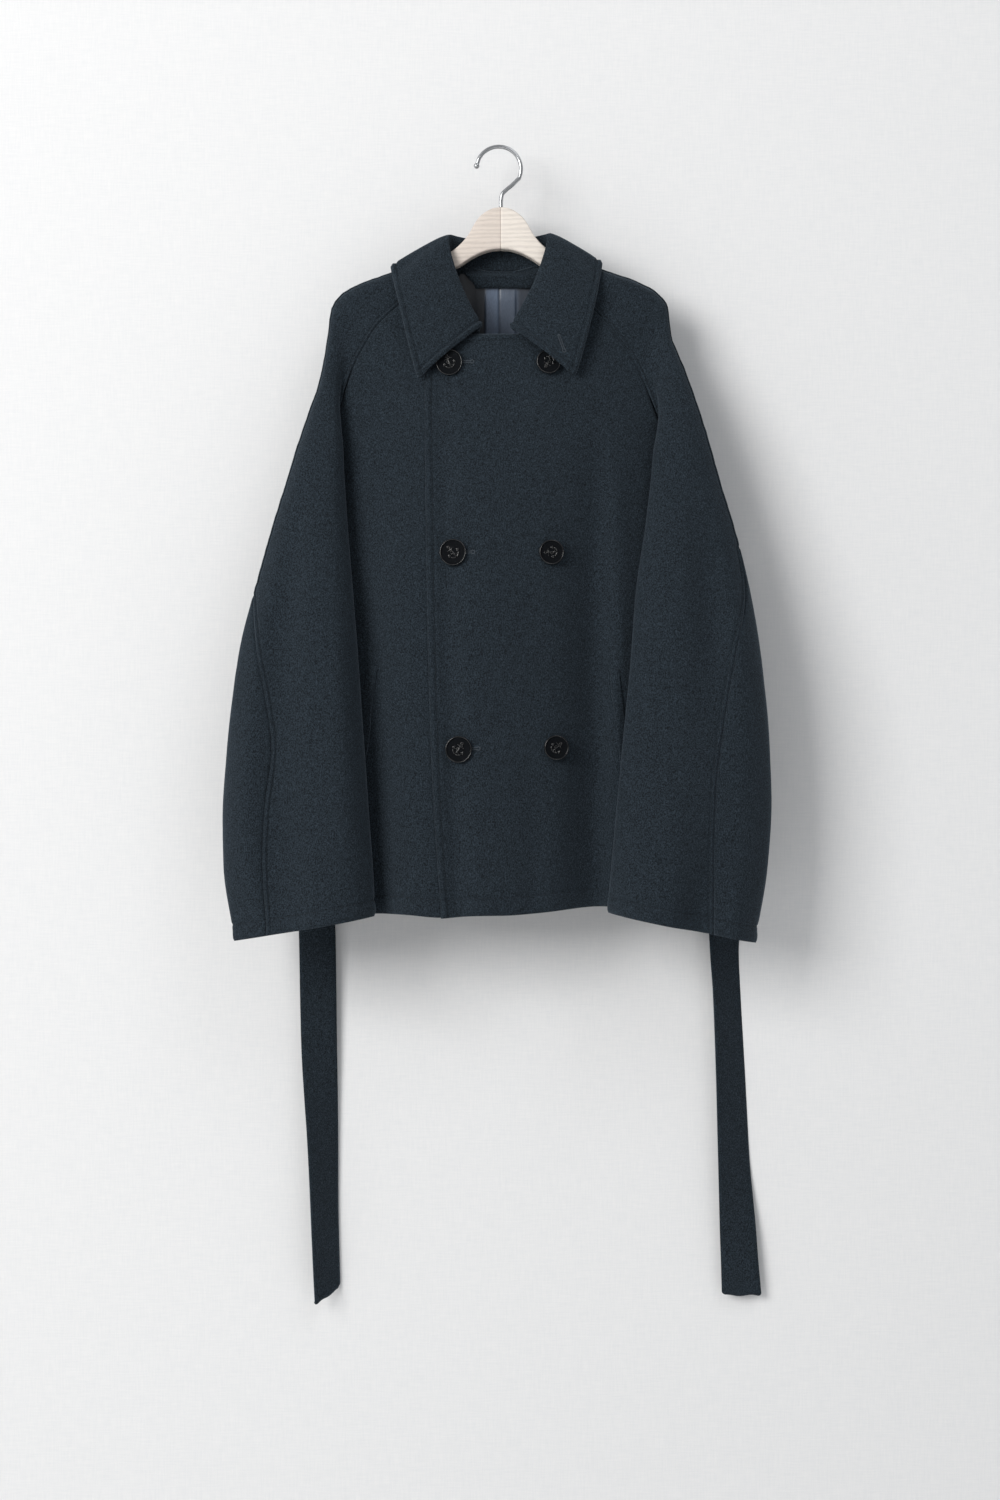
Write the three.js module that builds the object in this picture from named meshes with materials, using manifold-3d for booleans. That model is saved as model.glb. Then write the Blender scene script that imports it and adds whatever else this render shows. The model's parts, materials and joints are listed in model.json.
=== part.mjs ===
import * as THREE from "three";
import Module from "manifold-3d";

// A short pea coat with raglan sleeves and a tie belt, hung on a wooden hanger.
// Millimetres, +Z up. The front faces -Y. The origin is the inner top of the hook.
// side is -1 at the viewer's left and +1 at the viewer's right.

const wasm = await Module();
wasm.setup();
const { Manifold, CrossSection } = wasm;

// Cloth
const CLOTH = 2.4; // melton wall
const COLLAR_CLOTH = 3.0; // two layers and interlining
const LINING = 1.0;
const BELT_CLOTH = 3.0;
const FACING_CLOTH = 2.2;
const SEAM_HALF_GAP = 0.2;
const LAP_LIFT = 3.2; // how far the top front stands off the under front
const SLEEVE_CLEARANCE = 4.0; // sleeve off the body
const SHOULDER_HALF = 14; // half depth of the cloth over the hanger
const UNDERARM_Z = -374;
const SIDE_Y = 8; // depth of the side seams

// Hanger and hook
const HANGER_HALF_DEPTH = 8;
const HANGER_END = 182;
const HOOK_WIRE = 4.6;
const HOOK_RADIUS = 25.2; // to the wire's centre
const BUTTON_LARGE = 29.5;
const BUTTON_SMALL = 27.5;

const lerp = (a, b, t) => a + (b - a) * t;
const clamp = (v, low, high) => Math.min(high, Math.max(low, v));
const smooth = (t) => {
  const c = clamp(t, 0, 1);
  return c * c * (3 - 2 * c);
};
const bump = (v) => Math.exp(-v * v);
const arc = (t) => Math.sqrt(1 - (1 - clamp(t, 0, 1)) ** 2);

// Reads a column of a table at a value of its first column, through a smooth curve.
function read(table, name, at) {
  const rows = table.rows;
  const k = table.columns.indexOf(name);
  const down = rows[0][0] > rows[rows.length - 1][0];
  const key = (i) => (down ? -rows[i][0] : rows[i][0]);
  const v = clamp(down ? -at : at, key(0), key(rows.length - 1));
  let i = 0;
  while (i < rows.length - 2 && v > key(i + 1)) i += 1;
  const slope = (a, b) => (rows[b][k] - rows[a][k]) / (key(b) - key(a));
  const tangent = (j) => {
    if (j === 0) return slope(0, 1);
    if (j === rows.length - 1) return slope(j - 1, j);
    const before = slope(j - 1, j);
    const after = slope(j, j + 1);
    return before * after <= 0 ? 0 : (2 * before * after) / (before + after);
  };
  const h = key(i + 1) - key(i);
  const t = (v - key(i)) / h;
  const a = rows[i][k];
  const b = rows[i + 1][k];
  return (
    (2 * t ** 3 - 3 * t ** 2 + 1) * a +
    (t ** 3 - 2 * t ** 2 + t) * h * tangent(i) +
    (-2 * t ** 3 + 3 * t ** 2) * b +
    (t ** 3 - t ** 2) * h * tangent(i + 1)
  );
}

// Body sections, by height: half width, depth in front and behind
const BODY = {
  columns: ["z", "half", "front", "back"],
  rows: [
    [-90, 200, 36, 34],
    [-206, 200, 36, 37],
    [-374, 202, 48, 42],
    [-560, 216, 54, 44],
    [-720, 228, 57, 46],
    [-866, 240, 60, 50],
  ],
};

// Outline of shoulder and sleeve with its seams, by row from the neck to the underarm.
// seam: front raglan seam; fold: inner fold of the sleeve; out: outer edge; rear: back raglan seam
const YOKE = {
  columns: ["row", "seamX", "seamZ", "foldX", "outX", "outZ", "overlap"],
  left: [
    [0, 60, -141, 150, 64, -117, 0],
    [1, 91, -160, 160, 95, -129, 0],
    [2, 122, -186, 170, 127, -141.5, 0],
    [3, 139, -203, 178, 155, -151.5, 0],
    [4, 152, -223, 184, 178, -163.5, 0],
    [5, 163, -243, 182.5, 191, -181, 0.05],
    [6, 172, -266, 179, 195.5, -217, 0.3],
    [7, 179, -290, 177, 202.5, -261, 0.62],
    [8, 187, -315, 175.5, 215, -302, 0.85],
    [9, 195, -343, 174.5, 227, -340, 0.97],
    [10, 202, -374, 174, 239.5, -382, 1],
  ],
  right: [
    [0, 60, -141, 150, 64, -117, 0],
    [1, 84, -165, 160, 92, -127.5, 0],
    [2, 110, -191, 168, 119, -138.5, 0],
    [3, 126, -209, 175, 150, -149, 0],
    [4, 143, -232, 181, 176, -163, 0],
    [5, 155, -254, 179, 188, -179, 0.05],
    [6, 165, -279, 176, 191.5, -212, 0.3],
    [7, 174, -302, 172.5, 205, -249, 0.62],
    [8, 184, -325, 170, 221, -297, 0.85],
    [9, 194, -348, 168, 234, -342, 0.97],
    [10, 202, -374, 167, 246, -386, 1],
  ],
};
const REAR = {
  columns: ["row", "x", "z"],
  rows: [
    [0, 48, -125],
    [1, 72, -143],
    [2, 98, -168],
    [3, 120, -193],
    [4, 139, -219],
    [5, 155, -246],
    [6, 169, -272],
    [7, 181, -298],
    [8, 190, -323],
    [9, 197, -348],
    [10, 202, -374],
  ],
};

// Hanging part of the sleeves, by height: inner fold, outer edge, depth, front overarm seam
const SLEEVE = {
  columns: ["z", "foldX", "outX", "depth", "overX"],
  left: [
    [-374, 174, 237.5, 26, 237.5],
    [-430, 170, 254.5, 30, 254.5],
    [-512, 163, 276.5, 36, 275],
    [-567, 158.5, 289.5, 39, 270],
    [-630, 154, 298.5, 41, 258.5],
    [-685, 150, 304, 42, 252],
    [-755, 145, 308, 43, 259.5],
    [-808, 141, 307, 43, 261.5],
    [-880, 137, 296.5, 42, 258],
  ],
  right: [
    [-374, 167, 243, 28, 243],
    [-430, 160, 259.5, 33, 259.5],
    [-504, 149, 277, 39, 271],
    [-583, 142.5, 289, 43, 256.5],
    [-668, 134, 297, 45, 243],
    [-736, 127.5, 299.5, 45, 235.5],
    [-805, 121.5, 295.5, 44, 233.5],
    [-880, 115, 283, 43, 233],
  ],
};

// Long soft folds on the cloth, in front view: from (x0, z0) to (x1, z1).
// lift is towards the front (+) or a trough (-); on: body, left or right sleeve, back
const FOLDS = {
  columns: ["on", "x0", "z0", "x1", "z1", "width", "lift"],
  rows: [
    ["body", -140, -290, -106, -880, 22, 5],
    ["body", -158, -380, -128, -900, 13, -5],
    ["body", 98, -300, 112, -880, 19, 5],
    ["body", 140, -330, 132, -640, 17, -5],
    ["body", 62, -480, 80, -900, 20, -4],
    ["body", 83, -790, 86, -900, 7, -4],
    ["body", -20, -320, -30, -900, 30, 2],
    ["left", -203, -290, -266, -900, 17, 5],
    ["left", -184, -420, -206, -900, 20, -3],
    ["left", -288, -620, -284, -900, 12, -3],
    ["right", 184, -300, 150, -900, 18, 5],
    ["right", 198, -330, 208, -860, 13, -6],
    ["right", 262, -470, 224, -900, 17, 4],
    ["back", -120, -300, -140, -900, 26, 6],
    ["back", -70, -340, -84, -900, 22, -5],
    ["back", 0, -380, 0, -900, 24, 5],
    ["back", 74, -340, 88, -900, 22, -5],
    ["back", 122, -300, 144, -900, 26, 6],
    ["back", -176, -420, -190, -900, 16, -4],
    ["back", 178, -420, 192, -900, 16, -4],
  ],
};

function folds(on, x, z) {
  let sum = 0;
  for (const [where, x0, z0, x1, z1, width, lift] of FOLDS.rows) {
    if (where !== on) continue;
    const t = (z - z0) / (z1 - z0);
    if (t <= 0) continue;
    const centre = lerp(x0, x1, t);
    sum += lift * smooth(t * 2.5) * (0.6 + 0.4 * t) * bump((x - centre) / width);
  }
  return sum;
}

const yoke = (side) => ({ columns: YOKE.columns, rows: side < 0 ? YOKE.left : YOKE.right });
const sleeve = (side) => ({ columns: SLEEVE.columns, rows: side < 0 ? SLEEVE.left : SLEEVE.right });

// Distance in front view from the shoulder line and the sleeve's outer edge
function edgeDistance(x, z) {
  const line = [[0, -92], ...yoke(Math.sign(x) || 1).rows.map((r) => [r[4], r[5]])];
  const a = Math.abs(x);
  let best = Infinity;
  for (let i = 0; i + 1 < line.length; i += 1) {
    const [ax, az] = line[i];
    const [bx, bz] = line[i + 1];
    const span = (bx - ax) ** 2 + (bz - az) ** 2;
    const t = clamp(((a - ax) * (bx - ax) + (z - az) * (bz - az)) / span, 0, 1);
    best = Math.min(best, Math.hypot(a - lerp(ax, bx, t), z - lerp(az, bz, t)));
  }
  return best;
}

// Outer skin of the body as a height over the X-Z plane, in front (sign -1) or behind (+1)
function skin(x, z, sign) {
  const depth = read(BODY, sign < 0 ? "front" : "back", z);
  const half = read(BODY, "half", z);
  const d = edgeDistance(x, z);
  const hung = sign * (SHOULDER_HALF * arc(d / 14) + (depth - SHOULDER_HALF) * smooth(d / 150));
  const ratio = clamp(Math.abs(x) / half, 0, 1);
  const round = (1 - ratio ** 2.3) ** (1 / 2.3);
  const ring = SIDE_Y + (sign * depth - SIDE_Y) * round;
  const base = lerp(hung, ring, smooth((-240 - z) / 125));
  const side = smooth((1 - ratio) * 6);
  return base + (sign < 0 ? -folds("body", x, z) : folds("back", x, z)) * side;
}

// The under front ends at this x; the top front lies over it
const underEdge = (z) => lerp(16, 78, smooth((-212 - z) / 190));
const lapLift = (x, z) => LAP_LIFT * (1 - smooth((x - underEdge(z) - 8) / 32));
const LAP_EDGE = {
  columns: ["z", "x"],
  rows: [
    [-200, -86],
    [-320, -85],
    [-446, -83],
    [-553, -81],
    [-715, -75.5],
    [-870, -65],
  ],
};

const hemZ = (x) => -861 + (x > 0 ? 8 * smooth(x / 120) : -3 * bump((x + 66) / 25));
const sleeveHemZ = (side, x) => {
  const t = (Math.abs(x) - 115) / 190;
  return side < 0 ? lerp(-859, -892, t) : lerp(-855, -894, t);
};

// Columns of points that cross a smooth curve through key points
function spread(points, counts) {
  const curve = new THREE.CatmullRomCurve3(points, false, "centripetal");
  const out = [];
  const last = points.length - 1;
  for (let i = 0; i < last; i += 1) {
    for (let j = 0; j < counts[i]; j += 1) out.push(curve.getPoint((i + j / counts[i]) / last));
  }
  out.push(points[last].clone());
  return out;
}
const point = (x, y, z) => new THREE.Vector3(x, y, z);

const YOKE_ROWS = 10;
const DROP_ROWS = 12;
const dropShare = (down) => (down / DROP_ROWS) ** 1.25;
const seamPoint = (side, row) => {
  const t = yoke(side);
  const x = read(t, "seamX", row) * side;
  const z = read(t, "seamZ", row);
  return point(x, row >= YOKE_ROWS ? SIDE_Y : skin(x, z, -1), z);
};
const rearPoint = (side, row) => {
  const x = read(REAR, "x", row) * side;
  const z = read(REAR, "z", row);
  return point(x, row >= YOKE_ROWS ? SIDE_Y : skin(x, z, 1), z);
};

// Face of the sleeve that lies on the body, clear of the belt's end further down
function innerFace(x, z) {
  const half = read(BODY, "half", z);
  const reach = 0.84 * half;
  const a = Math.abs(x);
  const held = reach - 14 * Math.log1p(Math.exp((reach - a) / 14));
  const at = clamp(held, 0, reach);
  const clear = SLEEVE_CLEARANCE + 7 * smooth((a - 150) / 25) * smooth((-470 - z) / 90);
  return skin(Math.sign(x) * at, z, -1) - clear;
}

// One row round a sleeve: key points from the front seam over the outside to the back seam
function sleeveKeys(side, level) {
  const down = level - YOKE_ROWS;
  const y = yoke(side);
  const s = sleeve(side);
  const ring = (z, foldX, outX, depth, inner, outer, seamX, rearSeam) => {
    const at = (x, back) => {
      const t = clamp((x - foldX) / (outX - foldX), 0, 1);
      return point(side * x, innerFace(side * x, lerp(inner, outer, t)) - back, lerp(inner, outer, t));
    };
    const w = outX - foldX;
    const ridge = (x) => folds(side < 0 ? "left" : "right", side * x, z);
    const outY = innerFace(side * (outX - 6), outer) - depth * 0.3;
    const inset = lerp(0.12, 0.2, smooth((level - 8.5) / 1.5));
    const under = seamX - inset * (seamX - foldX);
    const start = at(under, 0);
    start.y = lerp(rearSeam.y, start.y, 0.62);
    return [
      rearSeam,
      start,
      at(foldX + 0.1 * w, 0.5),
      at(foldX, depth * 0.42),
      at(foldX + 0.13 * w, depth * 0.86 + ridge(foldX + 0.13 * w)),
      at(foldX + 0.38 * w, depth + ridge(foldX + 0.38 * w)),
      at(foldX + 0.62 * w, depth + ridge(foldX + 0.62 * w)),
      at(foldX + 0.84 * w, depth * 0.84 + ridge(foldX + 0.84 * w)),
      point(side * outX, outY, outer),
      at(foldX + 0.86 * w, 0.5),
      at(foldX + 0.6 * w, 0),
      rearSeam,
    ];
  };
  if (down > 0) {
    const t = dropShare(down);
    const inner = lerp(UNDERARM_Z, sleeveHemZ(side, 130), t);
    const outer = lerp(-384, sleeveHemZ(side, 295), t);
    const mid = (inner + outer) / 2;
    const foldX = read(s, "foldX", inner);
    const outX = read(s, "outX", outer);
    const seamX = 202 + 12 * t;
    const near = smooth(t * 9);
    const seamY = lerp(SIDE_Y - 3, innerFace(side * seamX, inner), near);
    const seam = point(side * seamX, seamY, lerp(inner, outer, 0.4 * near));
    return ring(mid, foldX, outX, read(s, "depth", mid), inner, outer, seamX, seam);
  }
  const front = seamPoint(side, level);
  const rear = rearPoint(side, level);
  const outX = read(y, "outX", level);
  const outZ = read(y, "outZ", level);
  const overlap = read(y, "overlap", level);
  const openAt = (from, f, sign) => {
    const x = lerp(from.x, side * outX, f);
    const z = lerp(from.z, outZ, f);
    return point(x, skin(x, z, sign), z);
  };
  const outY = -12 * smooth((level - 6) / 4);
  const open = [
    front,
    openAt(front, 0.05, -1),
    openAt(front, 0.13, -1),
    openAt(front, 0.26, -1),
    openAt(front, 0.42, -1),
    openAt(front, 0.6, -1),
    openAt(front, 0.78, -1),
    openAt(front, 0.92, -1),
    point(side * outX, outY, outZ),
    openAt(rear, 0.75, 1),
    openAt(rear, 0.38, 1),
    rear,
  ];
  if (overlap <= 0) return open;
  const foldX = read(y, "foldX", level);
  const z = front.z;
  const closed = ring(z, foldX, outX, 26, z, outZ, front.x * side, front);
  return open.map((p, i) => {
    if (i === 0 || i === 11) return p;
    return p.clone().lerp(closed[i], i > 8 ? overlap * overlap : overlap);
  });
}

// One row of both halves of a sleeve, parted where the overarm seam lies
function sleeveRow(side, level) {
  const keys = sleeveKeys(side, level);
  const down = level - YOKE_ROWS;
  const x = down > 0 ? read(sleeve(side), "overX", keys[8].z) : Math.abs(keys[8].x);
  const curve = new THREE.CatmullRomCurve3(keys, false, "centripetal");
  const at = (t) => curve.getPoint(t / 11);
  let over = 8;
  if (Math.abs(keys[8].x) - x > 1) {
    let low = 4;
    let high = 8;
    for (let k = 0; k < 30; k += 1) {
      over = (low + high) / 2;
      if (Math.abs(at(over).x) < x) low = over;
      else high = over;
    }
  }
  const front = [0, 0.5, 1, 2, 2.5, 3, 3.4, 4];
  const rest = [0.2, 0.4, 0.6, 0.8, 1].map((f) => lerp(4, over, f));
  const rear = [0.16, 0.32, 0.5, 0.75, 1].map((f) => lerp(over, 9, f));
  return {
    front: [...front, ...rest].map(at),
    rear: [at(over), ...rear.map(at), at(10), at(10.5), keys[11].clone()],
  };
}

const levels = [];
for (let i = 0; i <= YOKE_ROWS; i += 1) levels.push(i);
for (let i = 1; i <= DROP_ROWS; i += 1) levels.push(YOKE_ROWS + i);

function sleeveGrids(side) {
  const rows = levels.map((l) => sleeveRow(side, l));
  return { front: rows.map((r) => r.front), rear: rows.map((r) => r.rear) };
}

// A front as a grid of rows from its closing edge to the raglan or side seam.
// top is true for the front that lies over the other.
function frontGrid(top) {
  const side = top ? 1 : -1;
  const columns = 21;
  const rows = [];
  for (const level of levels) {
    const down = level - YOKE_ROWS;
    const t = level <= YOKE_ROWS ? level / YOKE_ROWS : dropShare(down);
    const outer = level <= YOKE_ROWS ? seamPoint(side, level) : null;
    const row = [];
    const edgeHem = hemZ(top ? -65 : 78) + (top ? 0 : 3);
    const neckZ = top ? -214.5 : -217;
    const edgeZ = level <= YOKE_ROWS ? lerp(neckZ, UNDERARM_Z, t) : lerp(UNDERARM_Z, edgeHem, t);
    const edgeX = top ? read(LAP_EDGE, "x", edgeZ) : underEdge(edgeZ);
    for (let j = 0; j <= columns; j += 1) {
      const even = j / columns;
      const u = lerp(even, Math.sin((even * Math.PI) / 2), 0.45 * smooth((level - 5) / 5));
      let x;
      let z;
      if (outer) {
        x = lerp(edgeX, outer.x, u);
        const corner = top ? 0.72 : 0.47;
        const rise = clamp((u - corner) / (1 - corner), 0, 1);
        z = lerp(edgeZ, outer.z, rise ** 1.25);
      } else {
        const zs = lerp(UNDERARM_Z, hemZ(side * 200), t);
        const half = read(BODY, "half", zs);
        x = lerp(edgeX, side * half, u);
        z = lerp(UNDERARM_Z, hemZ(x) + (top ? 0 : 1.5), t);
      }
      const last = j === columns;
      let y = skin(x, z, -1);
      if (top) y -= lapLift(x, z);
      if (last && outer) row.push(outer);
      else if (last) row.push(sidePoint(side, t));
      else row.push(point(x, y, z));
    }
    rows.push(row);
  }
  return rows;
}

function sidePoint(side, t) {
  const z = lerp(UNDERARM_Z, hemZ(side * 200), t);
  return point(side * read(BODY, "half", z), SIDE_Y, z);
}

function backGrid() {
  const columns = 22;
  return levels.map((level) => {
    const t = level <= YOKE_ROWS ? level / YOKE_ROWS : dropShare(level - YOKE_ROWS);
    const row = [];
    for (let j = 0; j <= columns; j += 1) {
      const even = (2 * j) / columns - 1;
      const side = Math.sign(even) || 1;
      const u = lerp(even, Math.sin((even * Math.PI) / 2), 0.45 * smooth((level - 5) / 5));
      const end = Math.abs(even) === 1;
      if (level <= YOKE_ROWS) {
        const rear = rearPoint(side, level);
        const centre = lerp(-136, UNDERARM_Z, t);
        const x = Math.abs(u) * rear.x;
        const z = lerp(centre, rear.z, Math.abs(u) ** 2);
        row.push(end ? rear : point(x, skin(x, z, 1), z));
      } else if (end) {
        row.push(sidePoint(side, t));
      } else {
        const z = lerp(UNDERARM_Z, hemZ(side * 200), t);
        const x = u * read(BODY, "half", z);
        row.push(point(x, skin(x, z, 1), z));
      }
    }
    return row;
  });
}

// Collar sections from the viewer's left front end round the back to the right one.
// neck: sewn edge; roll: top of the roll; edge: outer edge of the fall
const COLLAR = {
  columns: [
    "at", "neckX", "neckY", "neckZ", "rollX", "rollY", "rollZ", "edgeX", "edgeY", "edgeZ", "swell",
  ],
  rows: [
    [0, -24, -31, -212, -20, -35, -206, -93, -48, -267, 6],
    [0.1, -38, -25, -187, -34.5, -31, -180, -99.5, -46, -242, 5],
    [0.2, -48, -17, -158.5, -48, -25, -148, -108, -42, -207, 4],
    [0.28, -55.5, -13.5, -134, -56.5, -17, -119, -117, -31, -169, 3],
    [0.32, -58.5, -10.5, -117, -59.5, -11.5, -104, -122, -19, -149, 2.5],
    [0.35, -59.5, -2, -113, -59.5, -5, -98.5, -125, -8, -133.5, 2],
    [0.385, -55, 8.5, -114.5, -55, 4, -96.5, -117, 10, -134, 2],
    [0.42, -46, 12, -122, -46, 11, -97.5, -103, 22, -140, 2],
    [0.46, -25, 15, -130, -25, 16, -100, -60, 29, -167, 2],
    [0.5, 0, 16, -133, 0, 17.5, -101.5, 0, 32, -175, 2],
    [0.54, 25, 15, -130, 24, 16, -100, 58, 29, -166, 2],
    [0.58, 46, 12, -122, 43, 11, -96, 96, 22, -137, 2],
    [0.615, 55, 8.5, -114.5, 51, 4, -95.5, 109, 10, -131, 2],
    [0.65, 59.5, -2, -113, 54.5, -5, -96.5, 115, -8, -130, 2],
    [0.68, 58.5, -10.5, -117, 53, -11.5, -103, 112, -19, -147, 2.5],
    [0.72, 55.5, -13.5, -134, 49, -17, -119, 108, -31, -169, 3],
    [0.8, 44.5, -18, -162, 38.5, -26, -151, 99, -42, -207, 4],
    [0.9, 31, -27, -190, 24, -32, -181, 90.5, -46, -240, 5],
    [1, 17, -31, -212, 9, -35, -207, 83, -48, -264, 6],
  ],
};
const ROLL_RADIUS = 5;

function collarGrid() {
  const rows = [];
  const steps = 30;
  for (let i = 0; i <= steps; i += 1) {
    const a = i / steps;
    const c = (name) => read(COLLAR, name, a);
    const roll = point(c("rollX"), c("rollY"), c("rollZ"));
    const edge = point(c("edgeX"), c("edgeY"), c("edgeZ"));
    const neck = point(c("neckX"), c("neckY"), c("neckZ"));
    const e = 0.01;
    const ahead = Math.min(1, a + e);
    const behind = Math.max(0, a - e);
    const tangent = (name) => read(COLLAR, name, ahead) - read(COLLAR, name, behind);
    const along = point(tangent("rollX"), tangent("rollY"), 0).normalize();
    const inward = point(along.y, -along.x, 0);
    const back = roll.clone().sub(edge).normalize();
    const bend = roll.clone().addScaledVector(back, -ROLL_RADIUS);
    const within = bend.clone().addScaledVector(inward, ROLL_RADIUS * 0.9);
    const outside = bend.clone().addScaledVector(inward, -ROLL_RADIUS * 0.9);
    const mid = outside.clone().lerp(edge, 0.5).addScaledVector(inward, -c("swell"));
    rows.push(spread([neck, within, roll, outside, mid, edge], [2, 2, 2, 1, 2]));
  }
  return rows;
}

// Cloth walls
const SHARED = new Map();
const keyOf = (p) => `${Math.round(p.x * 20)},${Math.round(p.y * 20)},${Math.round(p.z * 20)}`;

function gridNormals(grid, sign) {
  const rows = grid.length;
  const columns = grid[0].length;
  const normals = grid.map((r) => r.map(() => point(0, 0, 0)));
  const add = (i, j, n) => normals[i][j].add(n);
  for (let i = 0; i + 1 < rows; i += 1) {
    for (let j = 0; j + 1 < columns; j += 1) {
      const d1 = grid[i + 1][j + 1].clone().sub(grid[i][j]);
      const d2 = grid[i + 1][j].clone().sub(grid[i][j + 1]);
      const n = d1.cross(d2).multiplyScalar(sign);
      if (n.length() > 1e-9) n.normalize();
      add(i, j, n);
      add(i + 1, j, n);
      add(i, j + 1, n);
      add(i + 1, j + 1, n);
    }
  }
  return normals;
}

function register(grid, normals) {
  grid.forEach((row, i) =>
    row.forEach((p, j) => {
      const k = keyOf(p);
      if (!SHARED.has(k)) SHARED.set(k, point(0, 0, 0));
      SHARED.get(k).add(normals[i][j]);
    }),
  );
}

// A closed wall from a grid of outer points, drawn in at its borders by the seam gap
function wall(name, grid, normals, thickness, material, shared = true) {
  const rows = grid.length;
  const columns = grid[0].length;
  const at = (i, j) => grid[clamp(i, 0, rows - 1)][clamp(j, 0, columns - 1)];
  const outer = [];
  const inner = [];
  for (let i = 0; i < rows; i += 1) {
    for (let j = 0; j < columns; j += 1) {
      const p = at(i, j).clone();
      const n = (shared ? SHARED.get(keyOf(p)) : normals[i][j]).clone().normalize();
      const draw = (di, dj) => {
        const inside = at(i + di, j + dj).clone().sub(at(i, j));
        const [ahead, behind] = di ? [at(i, j + 1), at(i, j - 1)] : [at(i + 1, j), at(i - 1, j)];
        const tangent = ahead.clone().sub(behind);
        tangent.normalize();
        inside.addScaledVector(tangent, -inside.dot(tangent));
        if (inside.length() > 1e-6) p.addScaledVector(inside.normalize(), SEAM_HALF_GAP);
      };
      if (j === 0) draw(0, 1);
      if (j === columns - 1) draw(0, -1);
      if (i === 0) draw(1, 0);
      if (i === rows - 1) draw(-1, 0);
      outer.push(p);
      inner.push(p.clone().addScaledVector(n, -thickness));
    }
  }
  const vertices = [...outer, ...inner];
  const under = outer.length;
  const faces = [];
  const quad = (a, b, c, d) => faces.push([a, b, c], [a, c, d]);
  const id = (i, j) => i * columns + j;
  for (let i = 0; i + 1 < rows; i += 1) {
    for (let j = 0; j + 1 < columns; j += 1) {
      quad(id(i, j), id(i + 1, j), id(i + 1, j + 1), id(i, j + 1));
      quad(under + id(i, j), under + id(i, j + 1), under + id(i + 1, j + 1), under + id(i + 1, j));
    }
  }
  border(rows, columns, id).forEach(([a, b]) => quad(a, b, under + b, under + a));
  return closed(name, vertices, faces, material);
}

// Pairs of neighbours round the edge of a grid
function border(rows, columns, id) {
  const ring = [];
  for (let j = 0; j + 1 < columns; j += 1) ring.push(id(0, j));
  for (let i = 0; i + 1 < rows; i += 1) ring.push(id(i, columns - 1));
  for (let j = columns - 1; j > 0; j -= 1) ring.push(id(rows - 1, j));
  for (let i = rows - 1; i > 0; i -= 1) ring.push(id(i, 0));
  return ring.map((a, k) => [a, ring[(k + 1) % ring.length]]);
}

function closed(name, vertices, faces, material) {
  const positions = new Float32Array(vertices.flatMap((p) => [p.x, p.y, p.z]));
  let sum = 0;
  for (const [a, b, c] of faces) {
    sum += vertices[a].clone().cross(vertices[b]).dot(vertices[c]);
  }
  const index = sum < 0 ? faces.flatMap(([a, b, c]) => [a, c, b]) : faces.flat();
  const geometry = new THREE.BufferGeometry();
  geometry.setAttribute("position", new THREE.BufferAttribute(positions, 3));
  geometry.setIndex(index);
  geometry.computeVertexNormals();
  return named(name, geometry, material);
}

function named(name, geometry, material) {
  const mesh = new THREE.Mesh(geometry, new THREE.MeshStandardMaterial(material));
  mesh.name = name;
  return mesh;
}

const WOOL = { color: 0x20272e, roughness: 0.95 };
const SATIN = { color: 0x4a4a55, roughness: 0.45 };
const BEECH = { color: 0xdfccb4, roughness: 0.6 };
const STEEL = { color: 0xb4b4b4, roughness: 0.25, metalness: 1 };
const HORN = { color: 0x121416, roughness: 0.2 };

const group = new THREE.Group();

// Shell of the coat
const leftSleeve = sleeveGrids(-1);
const rightSleeve = sleeveGrids(1);
const shell = [
  ["right_front", frontGrid(false), 1],
  ["left_front", frontGrid(true), -1],
  ["back", backGrid(), 1],
  ["sleeve_front_left", leftSleeve.front, 1],
  ["sleeve_back_left", leftSleeve.rear, 1],
  ["sleeve_front_right", rightSleeve.front, -1],
  ["sleeve_back_right", rightSleeve.rear, -1],
];
const built = shell.map(([name, grid, sign]) => ({ name, grid, normals: gridNormals(grid, sign) }));
built.forEach((b) => register(b.grid, b.normals));
// All four panels turn up together at the underarm point
[-1, 1].forEach((side) => SHARED.set(keyOf(seamPoint(side, YOKE_ROWS)), point(0, 0, -1)));
built.forEach((b) => group.add(wall(b.name, b.grid, b.normals, CLOTH, WOOL)));

const sheet = (name, grid, sign, thickness, material) =>
  group.add(wall(name, grid, gridNormals(grid, sign), thickness, material, false));
sheet("collar", collarGrid(), -1, COLLAR_CLOTH, WOOL);

// Lining and facing, seen through the neck
const LINING_OFF = CLOTH + 0.6;
const LINING_AREA = { columns: ["z", "half"], rows: [[-139, 46], [-165, 62], [-220, 78], [-310, 92]] };
function liningGrid() {
  const rows = [];
  for (let i = 0; i <= 6; i += 1) {
    const z = lerp(-139, -310, (i / 6) ** 1.4);
    const half = read(LINING_AREA, "half", z);
    const row = [];
    for (let j = 0; j <= 8; j += 1) {
      const x = lerp(-half, half, j / 8);
      row.push(point(x, skin(x, z, 1) - LINING_OFF - LINING, z));
    }
    rows.push(row);
  }
  return rows;
}
sheet("back_lining", liningGrid(), -1, LINING, SATIN);

function facingGrid() {
  const rows = [];
  for (let i = 0; i <= 3; i += 1) {
    const t = i / 3;
    const z = lerp(-137, -156.5, t);
    const half = lerp(44, 29, smooth(t));
    const row = [];
    for (let j = 0; j <= 10; j += 1) {
      const x = lerp(-half, half + 6, j / 10);
      row.push(point(x, skin(x, z, 1) - LINING_OFF - LINING - 0.5 - FACING_CLOTH, z));
    }
    rows.push(row);
  }
  return rows;
}
sheet("back_neck_facing", facingGrid(), -1, FACING_CLOTH, WOOL);

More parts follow.
